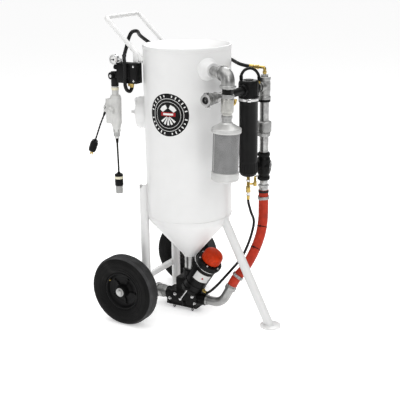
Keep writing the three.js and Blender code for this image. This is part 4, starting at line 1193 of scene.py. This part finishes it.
def build_filter():
    base = FILTER
    centre = base + UP * PORT_Z
    head = Shape()
    head.lathe(
        [(0, 1209), (53, 1209), (53, 1214), (51, 1217), (51, 1288), (46, 1296), (0, 1296)], base, UP, 96, 2.5)
    for direction in ((STACK - FILTER).normalized(), INLET_AIM):
        head.lathe([(0, 30), (28, 30), (29, 60), (26, 64.8), (0, 64.8)], centre, direction, 48, 1.5)
        head.hexagon(centre, direction, 55, 50, 63, 1.6, 8)
    for i in range(10):
        angle = 2 * pi * i / 10 + 0.2
        spot = spun(base + UP * 1218, angle, "Z")
        head.block((48, -4, 0), (52.6, 4, 66), 1.4, spot)
    head.make("filter_top", black_iron, stands_for="filter_head")
    ring = Shape().lathe([(49, 1192), (52.4, 1192), (53, 1194), (53, 1204), (52, 1206), (49, 1206)], base,
                         UP, 96, 1)
    ring.make("filter_clamp_band", bright)
    clamp = Shape()
    lug = spun(base + UP * 1197, radians(210), "Z")
    clamp.block((50, -9, -6), (60, 9, 6), 1.5, lug)
    clamp.make("filter_clamp_lug", bright)
    top = Shape().lathe([(0, 1296), (24, 1296), (24, 1298.5), (20, 1301), (0, 1301)], base, UP, 48, 0.8)
    top.make("filter_top_plate", black_plastic)

    def fins(angle, height):
        return -2.6 * (0.5 + 0.5 * cos(angle * 26)) if 812 < height < 868 else 0

    outline = [(0, 790.2), (30, 790.2), (40, 796), (48.2, 811)]
    outline += [(48.4, 811 + 4 * k) for k in range(1, 17)]
    outline += [(48.4, 1182), (51.8, 1186), (51.8, 1208.2), (45.5, 1208.2), (45.5, 812), (0, 812)]
    bowl = Shape().lathe(outline, base, UP, 156, ripple=fins)
    bowl.make("filter_bowl_shell", black_iron, stands_for="filter_bowl", sharp=45)
    knob = Shape()
    for z, reach in ((905, 52.5), (838, 51.5)):
        out = Vector((-0.42, 0.91, 0)).normalized()
        knob.lathe([(0, 0), (4.4, 0), (4.4, 3), (3, 4.5), (0, 4.5)], base + UP * z + out * (reach - 4.5),
                   out, 24, 0.5)
    knob.make("filter_plugs", bright)

    def pleat(angle, _height):
        return -3.5 * (0.5 + 0.5 * cos(angle * 32))

    element = Shape().band(0, 29, 861, 1196, base, UP, 192, ripple=pleat)
    element.make("pleated_element", paper, stands_for="filter_element", sharp=60)
    build_drain(base)

    inlet = Shape()
    steps = [(21, INLET_REACH - 96 - FILTER_ARM - INLET_BLACK_RUN), (27, 26), (24, 20), (30, 16), (26, 12)]
    inlet.lathe(stepped(steps, FILTER_ARM + INLET_BLACK_RUN), centre, INLET_AIM, 48, 1.2)
    inlet.hexagon(centre + INLET_AIM * 298, INLET_AIM, 53, 0, 18, 1.5, 8)
    mouth = INLET_REACH - 22
    inlet.lathe([(18, mouth - 10), (29, mouth), (29, 390), (27.5, 391.6), (18, 391.6)], centre, INLET_AIM,
                56, 1)
    claw(inlet, centre + INLET_AIM * 390, INLET_AIM, 29, 26)
    inlet.make("air_inlet_line", malleable, stands_for="air_inlet")
    nearer = Shape().lathe(stepped([(21, INLET_BLACK_RUN)], FILTER_ARM), centre, INLET_AIM, 48, 1.2)
    nearer.lathe([(20, 0), (25.5, 1), (25.5, 15), (20, 16)], centre + INLET_AIM * (52 + INLET_BLACK_RUN),
                 INLET_AIM, 48, 1.2)
    thread(nearer, centre + INLET_AIM * 66, INLET_AIM, 21.5, 12)
    nearer.make("inlet_black_pipe", black_iron)
    Shape().band(13.5, 17.9, 380, 390.5, centre, INLET_AIM, 40, 1).make("inlet_seal", seal_rubber)
    # Black disc deep in the inlet's bore: painted shade for the dark inside of the open bore.
    Shape().band(0, 17.8, 362, 364, centre, INLET_AIM, 40).make("inlet_bore_painted_shade", black_plastic)
    pin = Shape().rod(centre + INLET_AIM * 386, centre + INLET_AIM * 391, 2, 10)
    pin.band(9.2, 11, 0, 2, centre + INLET_AIM * 352 - UP * 37, Vector((0, 1, 0)), 24)
    pin.make("inlet_safety_clip", bright)


def build_drain(base):
    refined("drain_fitting", brass, 0.9)
    refined("drain_lever", brass, 0.8)
    top = 789.7
    step = Vector((0.5, -0.866, 0)) * 36
    nuts = Shape().hexagon(base, UP, 22, 700, 710, 0.9)
    nuts.hexagon(base, UP, 22, 722, 731, 0.9)
    nuts.hexagon(base + step, UP, 17, 738, 746, 0.8)
    nuts.make("drain_nuts", brass)
    ferrule = Shape().lathe(stepped([(9.6, 8), (8.2, 9)], 684.6), base, UP, 32, 0.5)
    ferrule.hexagon(base, UP, 20, top - 30, top - 20, 0.9)
    ferrule.make("drain_ferrule", bright)


# ---------------------------------------------------------------- exhaust line and silencer


def build_exhaust():
    down = EXHAUST_LEAN @ Vector((0, 0, -1))
    up = -down
    inward = -EXHAUST_OUT
    elbow = Shape().tube(bent_route([EXHAUST + inward * 56, EXHAUST, EXHAUST + down * 58], 46, 16), 33, 56)
    elbow.lathe([(24, 50), (36.5, 50), (38, 53), (38, 64), (36.5, 66), (24, 66)], EXHAUST, inward, 72, 1.5)
    elbow.lathe([(0, 50), (37, 50), (40, 53), (40, 63.6), (38, 65.6), (0, 65.6)], EXHAUST, down, 72, 1.5)
    elbow.make("exhaust_elbow_casting", malleable, stands_for="exhaust_elbow", sharp=50)
    nipple = Shape()
    reach = math.hypot(EXHAUST.x, EXHAUST.y) - NOZZLE_END + 26
    nipple.rod(EXHAUST + inward * 60, EXHAUST + inward * reach, 23.9, 56, 0.4)
    thread(nipple, EXHAUST + inward * 66.4, inward, 24.4, 12)
    nipple.make("exhaust_nipple", galvanised)
    socket = Shape()
    socket.band(24.2, 38.6, 0, 12, Vector((0, 0, EXHAUST.z)) + EXHAUST_OUT * (NOZZLE_END - 12), EXHAUST_OUT,
                64, 1.5)
    socket.make("exhaust_socket_lip", white)

    top = EXHAUST + down * ELBOW_DROP
    Shape().hexagon(top, down, 48, 2, 27, 1.2, 6).make("exhaust_union_tail", black_iron)
    union = Shape().band(0, 25.8, 0, 3, top, down, 48, 0.5)
    union.lathe([(0, 27), (31.5, 27.6), (33, 30), (33, 44), (31.5, 46.8), (0, 46.8)], top, down, 8, 1)
    union.make("exhaust_union_nut", malleable)
    body = Shape()
    body.lathe([(0, 47), (29.5, 47), (31, 50), (31, 112), (29, 117), (24, 121), (24, 130), (0, 130)], top,
               down, 64, 1.5)
    body.make("exhaust_valve_barrel", warm_steel, stands_for="exhaust_valve")
    lower = Shape().hexagon(top, down, 47, 130, 146, 1.2, 6)
    lower.band(0, 23.6, 146, 160.8, top, down, 48, 0.6)
    lower.make("exhaust_valve_nut", malleable)
    port = Shape()
    across = up.cross(EXHAUST_OUT).normalized()
    spot = top + down * 78
    tip = (across + Vector((0, 0.25, 0))).normalized()
    port.rod(spot + tip * 26, spot + tip * 42, 8, 24)
    port.hexagon(spot, tip, 18, 34, 43, 0.9)
    port.tube(bent_route([spot + tip * 40, spot + tip * 52, spot + tip * 52 + up * 22], 8, 8), 6.5, 20)
    port.hexagon(spot + tip * 52, up, 16, 12, 22, 0.8)
    port.make("exhaust_signal_port", brass)

    head_at = EXHAUST + down * (ELBOW_DROP + UNION_LENGTH + EXHAUST_VALVE_LENGTH + 0.3)
    head = Shape()
    head.lathe(
        [(0, 0), (26.5, 0), (28, 3), (33, 9), (50, 18), (64, 25.6), (70, 29), (73, 33), (73, 36.5),
         (71.8, 38.2), (73, 40),
         (73, 49), (71.5, 51.6), (70, 51.6), (70, 34), (0, 24)], head_at, down, 96, 1.0)
    head.make("silencer_cap", silencer_paint, stands_for="silencer_head")
    body_at = head_at + down * 34.3
    sheet = Shape().band(64.2, 65, 0, 214, body_at, down, 128)
    sheet.make("silencer_sheet", silencer_mesh, stands_for="silencer_body")
    base = Shape()
    base.lathe(
        [(62, 212), (66.5, 212.6), (69, 216), (69, 220), (67.8, 222), (69, 224), (69, 242), (67.8, 244),
         (69, 246),
         (68.6, 250), (65, 256), (18, 256), (18, 253), (62, 253)], body_at, down, 96, 1.0)
    base.make("silencer_base", silencer_paint)
    seam = Shape()
    seam_out = Vector((cos(SEAM_BEARING), sin(SEAM_BEARING), 0))
    start = body_at + seam_out * 65.2
    seam.tube([start + down * (14 + 10 * i) for i in range(20)], 1.2, 8)
    seam.make("silencer_seam", silencer_paint)
    Shape().band(0, 52, 14, 240, body_at, down, 64, 4).make("silencer_wadding", seal_rubber)


# ---------------------------------------------------------------- rear control group


def build_controls():
    refined("control_block", black_iron, 2.2, 34)
    bolts = Shape()
    near = -192.5
    for y, z in ((206, 1368), (206, 1294), (262, 1368), (262, 1294)):
        bolts.bolt((near, y, z), (-1, 0, 0), 8, 4.5)
    bolts.make("control_bolts", bright)
    steps = Shape()
    for y0, y1, z0, z1, out in ((228, 300, 1296, 1374, 5), (236, 292, 1304, 1366, 9)):
        steps.block((near - out, y0, z0), (near + 2, y1, z1), 2.2)
    steps.make("control_cover", black_plastic)
    eye = Vector((CONTROL_X, CONDUIT_Y, 1312))
    eye_aim = Vector((-26, 8, 0)).normalized()
    button = Shape().lathe([(0, 0), (9, 0), (9, 3), (6, 5), (0, 5)], eye + eye_aim * 26.5, eye_aim, 32, 0.8)
    button.make("elbow_plug", bright)
    rim = Shape().band(10.5, 18.6, 0, 2.5, eye + eye_aim * 26.8, eye_aim, 40, 0.8)
    rim.make("elbow_plug_ring", black_plastic)
    nipple_sleeve = Shape().band(0, 17.6, 1220, 1254.5,
                                  (CONTROL_X, CONDUIT_Y, 0), UP, 40, 0.6)
    nipple_sleeve.band(0, 19.8, 1236, 1250, (CONTROL_X, CONDUIT_Y, 0), UP, 40, 1)
    nipple_sleeve.make("conduit_nipple_sleeve", cream)

    back = GAUGE + Vector((12, 0, 0))
    west = Vector((-1, 0, 0))
    can = Shape()
    can.lathe([(0, 0), (23, 0), (25, 2), (25, 19), (26, 20), (26, 24.5), (25, 26), (23.2, 26), (23.2, 21),
               (0, 21)],
              back, west, 72, 0.6)
    can.rod(GAUGE + Vector((0, -22, 0)), GAUGE + Vector((0, -42, 0)), 6.8, 24)
    can.hexagon(GAUGE + Vector((0, -27, 0)), (0, -1, 0), 15, 0, 8, 0.8)
    elbow_at = GAUGE + Vector((0, -38, 0))
    can.rod(elbow_at + UP * 6, Vector((elbow_at.x, elbow_at.y, 1382.4)), 6.8, 24)
    can.make("gauge_case", bright, stands_for="gauge_body")
    Shape().band(0, 23, 20.6, 21.3, back, west, 64).make("gauge_dial", dial_face)
    ticks = Shape()
    for i in range(28):
        angle = radians(-135 + 10 * i)
        spot = spun(back + west * 21.3, angle, "X")
        inner = 16.5 if i % 3 == 0 else 18.5
        wide = 0.6 if i % 3 == 0 else 0.3
        ticks.block((-0.35, -wide, inner), (0, wide, 21), 0.0, spot)
    ticks.make("gauge_ticks", decal_black)
    arc = Shape()
    for k in range(16):
        angle = radians(60 + 5 * k)
        spot = spun(back + west * 21.3, angle, "X")
        arc.block((-0.3, -0.9, 14), (0, 0.9, 15.6), 0.0, spot)
    arc.make("gauge_red_arc", decal_red)
    refined("gauge_needle", black_plastic, 0.15)
    rib = Shape().lathe(
        [(0, 0.3), (9, 0.3), (9, 8), (12.6, 9), (12.6, 27), (11, 30.3), (0, 30.3)], (CONTROL_X, 312, 1356),
        (0, 1, 0), 96,
        ripple=lambda angle, height: -0.8 * max(0.0, cos(angle * 16)) if 8.5 < height < 28 else 0)
    rib.make("regulator_grip", black_plastic, "regulator_knob", "regulator_knob")
    build_conduit()


def build_conduit():
    refined("conduit_body", cast_grey, 2.4, 38)
    x, y = CONTROL_X, CONDUIT_Y
    cover = Shape().block((x - 23, y + 44, 1068), (x + 23, y + 48.5, 1182), 1.6)
    for z in (1076, 1174):
        cover.lathe([(0, 0), (5, 0), (4, 2.2), (0, 2.4)], (x, y + 48.5, z), (0, 1, 0), 24, 0.4)
    cover.lathe([(0, 0), (19, 0), (19, 3), (15, 5.5), (0, 5.5)], (x - 43.8, y + 10, 1130), (-1, 0, 0), 48,
                0.8)
    cover.hexagon((x - 46, y + 10, 1130), (-1, 0, 0), 17, 2, 8, 0.9)
    cover.make("conduit_covers", cast_grey)
    gland = Shape()
    for k in range(5):
        gland.band(0, 17.6, 0, 3.2, (x, y, 989 + 5.2 * k), UP, 40, 0.8)
    gland.hexagon((x, y, 0), UP, 37, 1014, 1027, 1.2)
    gland.make("lower_gland", malleable)
    Shape().hexagon(BRANCH_ROOT, BRANCH_AIM, 31, 30, 46, 1.2).make("branch_gland_nut", black_plastic)


# ---------------------------------------------------------------- hanging cords

BRANCH_ROOT = Vector((CONTROL_X, CONDUIT_Y + 41, 1172.5))
BRANCH_AIM = Vector((0, 0.45, -0.893)).normalized()
BRANCH_END = BRANCH_ROOT + BRANCH_AIM * 62
PLUG_TOP = Vector((CONTROL_X, 487, 957))
PLUG_CORD = [
    BRANCH_END + BRANCH_AIM * 0.3, BRANCH_END + BRANCH_AIM * 36, BRANCH_END + BRANCH_AIM * 76,
    Vector((CONTROL_X, 470, 996)), PLUG_TOP,
]
GLAND_BOTTOM = 978
SOCKET_TOP = 790
SOCKET_CORD = [
    (CONTROL_X, CONDUIT_Y, GLAND_BOTTOM - 0.3), (CONTROL_X, CONDUIT_Y, GLAND_BOTTOM - 45),
    (CONTROL_X, CONDUIT_Y - 1, 880), (CONTROL_X, CONDUIT_Y - 2, 835), (CONTROL_X, CONDUIT_Y - 2, SOCKET_TOP),
]
CORD_R = 5


def free_cord(name, points, node, material, twisted):
    """A short hanging cord: two twisted leads in one round section, or a plain round one."""
    route = smooth_route(points, 12)

    def lobed(run, angle):
        return CORD_R * (0.86 + 0.14 * cos(2 * (angle - run * 0.16)))

    shape = Shape().tube(route, CORD_R, 32, radius_at=lobed if twisted else None)
    cord = shape.make(name, material, stands_for=node, sharp=60)
    path = [place(*p) for p in route]
    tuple(path[0])
    route_length(route) * MM


def build_cords():
    aim = (PLUG_TOP - PLUG_CORD[3]).normalized()
    plug = Shape().lathe(stepped([(8, 8), (16.5, 13), (20.6, 42), (19, 10)], 0.3), PLUG_TOP, aim, 64, 2)
    for i in range(9):
        plug.band(19.6, 21, 0, 1.6, PLUG_TOP + aim * (25 + 4.4 * i), aim, 48, 0.4)
    plug_body = plug.make("plug_shell", black_plastic, stands_for="plug")
    insert = Shape().band(0, 16, 72.6, 75.2, PLUG_TOP, aim, 48, 0.6)
    insert_piece = insert.make("plug_insert", cream)
    blades = Shape()
    matrix = Matrix.Translation(PLUG_TOP) @ turned_to(aim)
    for side in (-6.5, 6.5):
        blades.block((side - 0.8, -3.2, 74), (side + 0.8, 3.2, 93.8), 0.3, matrix)
    blades.rod(matrix @ Vector((0, 8.5, 74)), matrix @ Vector((0, 8.5, 95.8)), 2.5, 20)
    blade_piece = blades.make("plug_blades", brass)
    relief = Shape().lathe([(CORD_R + 0.2, 0), (8.2, 0), (6.2, 24), (CORD_R + 0.2, 24)],
                           BRANCH_END + BRANCH_AIM * 0.5, BRANCH_AIM, 32, 0.5)
    relief.make("branch_strain_relief", black_plastic)
    free_cord("plug_lead", PLUG_CORD, "plug_cord", hose_rubber,
              True)

    down = Vector((0, 0, -1))
    top = Vector((CONTROL_X, CONDUIT_Y - 2, SOCKET_TOP))
    socket = Shape().lathe(stepped([(9, 10), (21.5, 34), (22.6, 30)], 0.3), top, down, 64, 2)
    for i in range(6):
        socket.band(21, 22.4, 0, 2, top + down * (14 + 5 * i), down, 48, 0.5)
    socket_body = socket.make("socket_shell", black_plastic, stands_for="socket_connector")
    face = Shape().lathe([(0, 74.5), (19.6, 74.5), (19.6, 115.8), (17, 116), (17, 80), (0, 80)], top, down,
                         56, 0.8)
    face_piece = face.make("socket_shroud", clear_grey)
    band = Shape().band(22.4, 23, 22, 36, top, down, 56, 0.2)
    band_piece = band.make("socket_band", cream)
    relief = Shape().lathe([(CORD_R + 0.2, 0), (9, 0), (6.4, 26), (CORD_R + 0.2, 26)],
                           (CONTROL_X, CONDUIT_Y, GLAND_BOTTOM - 0.4), down, 32, 0.5)
    relief.make("socket_strain_relief", black_plastic)
    free_cord("socket_lead", SOCKET_CORD, "socket_cord", hose_rubber,
              False)


# ---------------------------------------------------------------- air hoses held at both ends

SIGNAL_AIM = Vector((0, -sin(radians(56)), -cos(radians(56))))
SIGNAL_PORT = on_barrel(110) + SIGNAL_AIM * BARREL_R
BLAST_CONTROL = [
    (87, -313, 684), (88, -313, 650), (110, -316, 590), (150, -316, 520), (140, -309, 455), (100, -300, 385),
    (62, -286, 332), (34, -238, 262), (14, -196, 206), (5, -158, 160), (0, -128, 130),
    SIGNAL_PORT + SIGNAL_AIM * 26, SIGNAL_PORT + SIGNAL_AIM * 0.6,
]
ELBOW_MOUTH = Vector((190, -290, 1351))
ARM_AIM = (ELBOW_MOUTH - Vector((207, -345, 1347))).normalized()
REAR_CONTROL = [
    ELBOW_MOUTH + ARM_AIM * 0.3, ELBOW_MOUTH + ARM_AIM * 30, (182, -215, 1360), (238, -120, 1377),
    (264, 0, 1390),
    (243, 118, 1390), (180, 206, 1394), (124, 250, 1418), (60, 270, 1462), (-14, 277, 1506), (-78, 256, 1536),
    (-114, 262, 1532), (-124, 278, 1496), (-130, 286, 1460), (-156, 280, 1430), (-190, 262, 1412),
    (-207, 248, 1385),
    (-207, 246, 1340), (-206, 250, 1290), (-205, 250, 1268), (-196, 246, 1246), (-180, 240, 1238),
    (CONTROL_X, 238, 1252), (CONTROL_X, 238, 1279.7),
]
LINK_END = Vector((162.6, -333.1, 1282))
LINK_START = Vector((68, -280, 1296.3))
FILTER_LINK = [LINK_START]
for share, height in ((0, 1320), (0.17, 1344), (0.5, 1352), (0.81, 1338), (1, 1308)):
    over = LINK_START.lerp(LINK_END, share)
    FILTER_LINK.append(Vector((over.x, over.y, height)))
FILTER_LINK.append(LINK_END)


def crimp(shape, route, start, length, radius):
    """A crimped hose end: a plain sleeve round the hose."""
    spot, aim = along_route(route, start)
    shape.band(radius - 0.3, radius + 1.8, 0, length, spot, aim, 32, 0.6)


def build_air_hoses():
    for name, points, radius, node in (
        ("valve_air_hose", BLAST_CONTROL, 7, "blast_control_hose"),
        ("rear_air_hose", REAR_CONTROL, 9.5, "rear_control_hose"),
        ("filter_air_hose", FILTER_LINK, 7.5, "filter_link_hose"),
    ):
        route = smooth_route(points, 10)
        Shape().tube(route, radius, 28).make(name, hose_rubber, stands_for=node, sharp=60)
        ends = Shape()
        total = route_length(route)
        sleeve = 22
        crimp(ends, route, 1, sleeve, radius)
        crimp(ends, route, total - sleeve - 1, sleeve, radius)
        ends.make(name + "_sleeves", brass if name != "filter_air_hose" else black_plastic)
    nuts = Shape().hexagon((CONTROL_X, 238, 0), UP, 24, 1268, 1280, 1)
    nuts.hexagon((CONTROL_X + 1, 250, 0), UP, 18, 1262, 1279.8, 1)
    nuts.make("control_hose_nuts", brass)
    Shape().hexagon(SIGNAL_PORT, SIGNAL_AIM, 19, -4, 9, 1).make("signal_port_nut", brass)
    clip = Shape()
    route = smooth_route(REAR_CONTROL, 10)
    for share in (0.30, 0.80):
        spot, aim = along_route(route, share * route_length(route))
        clip.band(9.6, 11.2, -2, 2, spot, aim, 28, 0.4)
    clip.make("hose_ties", black_plastic)


# ---------------------------------------------------------------- stage and light


def area_light(name, spot, target, size, power):
    data = bpy.data.lights.new(name, "AREA")
    data.shape = "RECTANGLE"
    data.size, data.size_y = size
    data.energy = power
    light = bpy.data.objects.new(name, data)
    light.location = spot
    light.rotation_euler = (Vector(target) - Vector(spot)).to_track_quat("-Z", "Y").to_euler()
    bpy.context.scene.collection.objects.link(light)


def build_stage():
    floor_shape = Shape()
    reach = 30000
    floor_shape.prism([(-reach, -reach), (reach, -reach), (reach, reach), (-reach, reach)], -20, -0.2)
    mesh = bpy.data.meshes.new("floor")
    floor_shape.mesh.to_mesh(mesh)
    floor_shape.mesh.free()
    mesh.transform(Matrix.Scale(MM, 4))
    floor = bpy.data.objects.new("floor", mesh)
    pale = bpy.data.materials.new("pale_floor")
    pale.use_nodes = True
    pale.node_tree.nodes["Principled BSDF"].inputs["Base Color"].default_value = (0.93, 0.93, 0.93, 1)
    pale.node_tree.nodes["Principled BSDF"].inputs["Roughness"].default_value = 0.9
    pale.node_tree.nodes["Principled BSDF"].inputs["Emission Color"].default_value = (1, 1, 1, 1)
    pale.node_tree.nodes["Principled BSDF"].inputs["Emission Strength"].default_value = 0.42
    mesh.materials.append(pale)
    bpy.context.scene.collection.objects.link(floor)

    build_sky()
    bpy.context.scene.view_settings.view_transform = "Standard"
    area_light("key", (-3.4, -3.6, 3.4), (0, 0, 0.8), (1.8, 2.4), 50)
    area_light("fill", (-4.4, 2.2, 2.2), (0, 0, 0.8), (1.2, 2.4), 18)
    area_light("rim", (3.4, 1.2, 3.2), (0, 0, 0.9), (1.2, 2.4), 40)
    area_light("overhead", (0, 0, 5.0), (0, 0, 0), (6.0, 6.0), 150)


def build_sky():
    """A plain studio sky: grey round the horizon and white overhead, so that metal shows dark and light."""
    world = bpy.data.worlds.new("studio")
    world.use_nodes = True
    tree = world.node_tree
    coords = tree.nodes.new("ShaderNodeTexCoord")
    split = tree.nodes.new("ShaderNodeSeparateXYZ")
    tree.links.new(coords.outputs["Generated"], split.inputs["Vector"])
    fade = tree.nodes.new("ShaderNodeValToRGB")
    stops = ((0.0, 0.10), (0.25, 0.16), (0.5, 0.5), (0.8, 0.75))
    fade.color_ramp.elements.remove(fade.color_ramp.elements[1])
    for spot, value in stops:
        element = fade.color_ramp.elements[0] if spot == 0 else fade.color_ramp.elements.new(spot)
        element.color = (value, value, value, 1)
    tree.links.new(split.outputs["Z"], fade.inputs["Fac"])
    tree.links.new(fade.outputs["Color"], tree.nodes["Background"].inputs["Color"])
    tree.nodes["Background"].inputs["Strength"].default_value = 1.0
    bpy.context.scene.world = world


make_camera()
build_cords()
build_vessel()
build_filling_valve()
build_handway()
build_decal()
build_frame()
build_wheel("near", -1)
build_wheel("far", 1)
build_metering_valve()
build_blast_coupling()
build_pusher_line()
build_filter()
build_exhaust()
build_controls()
build_air_hoses()
build_stage()
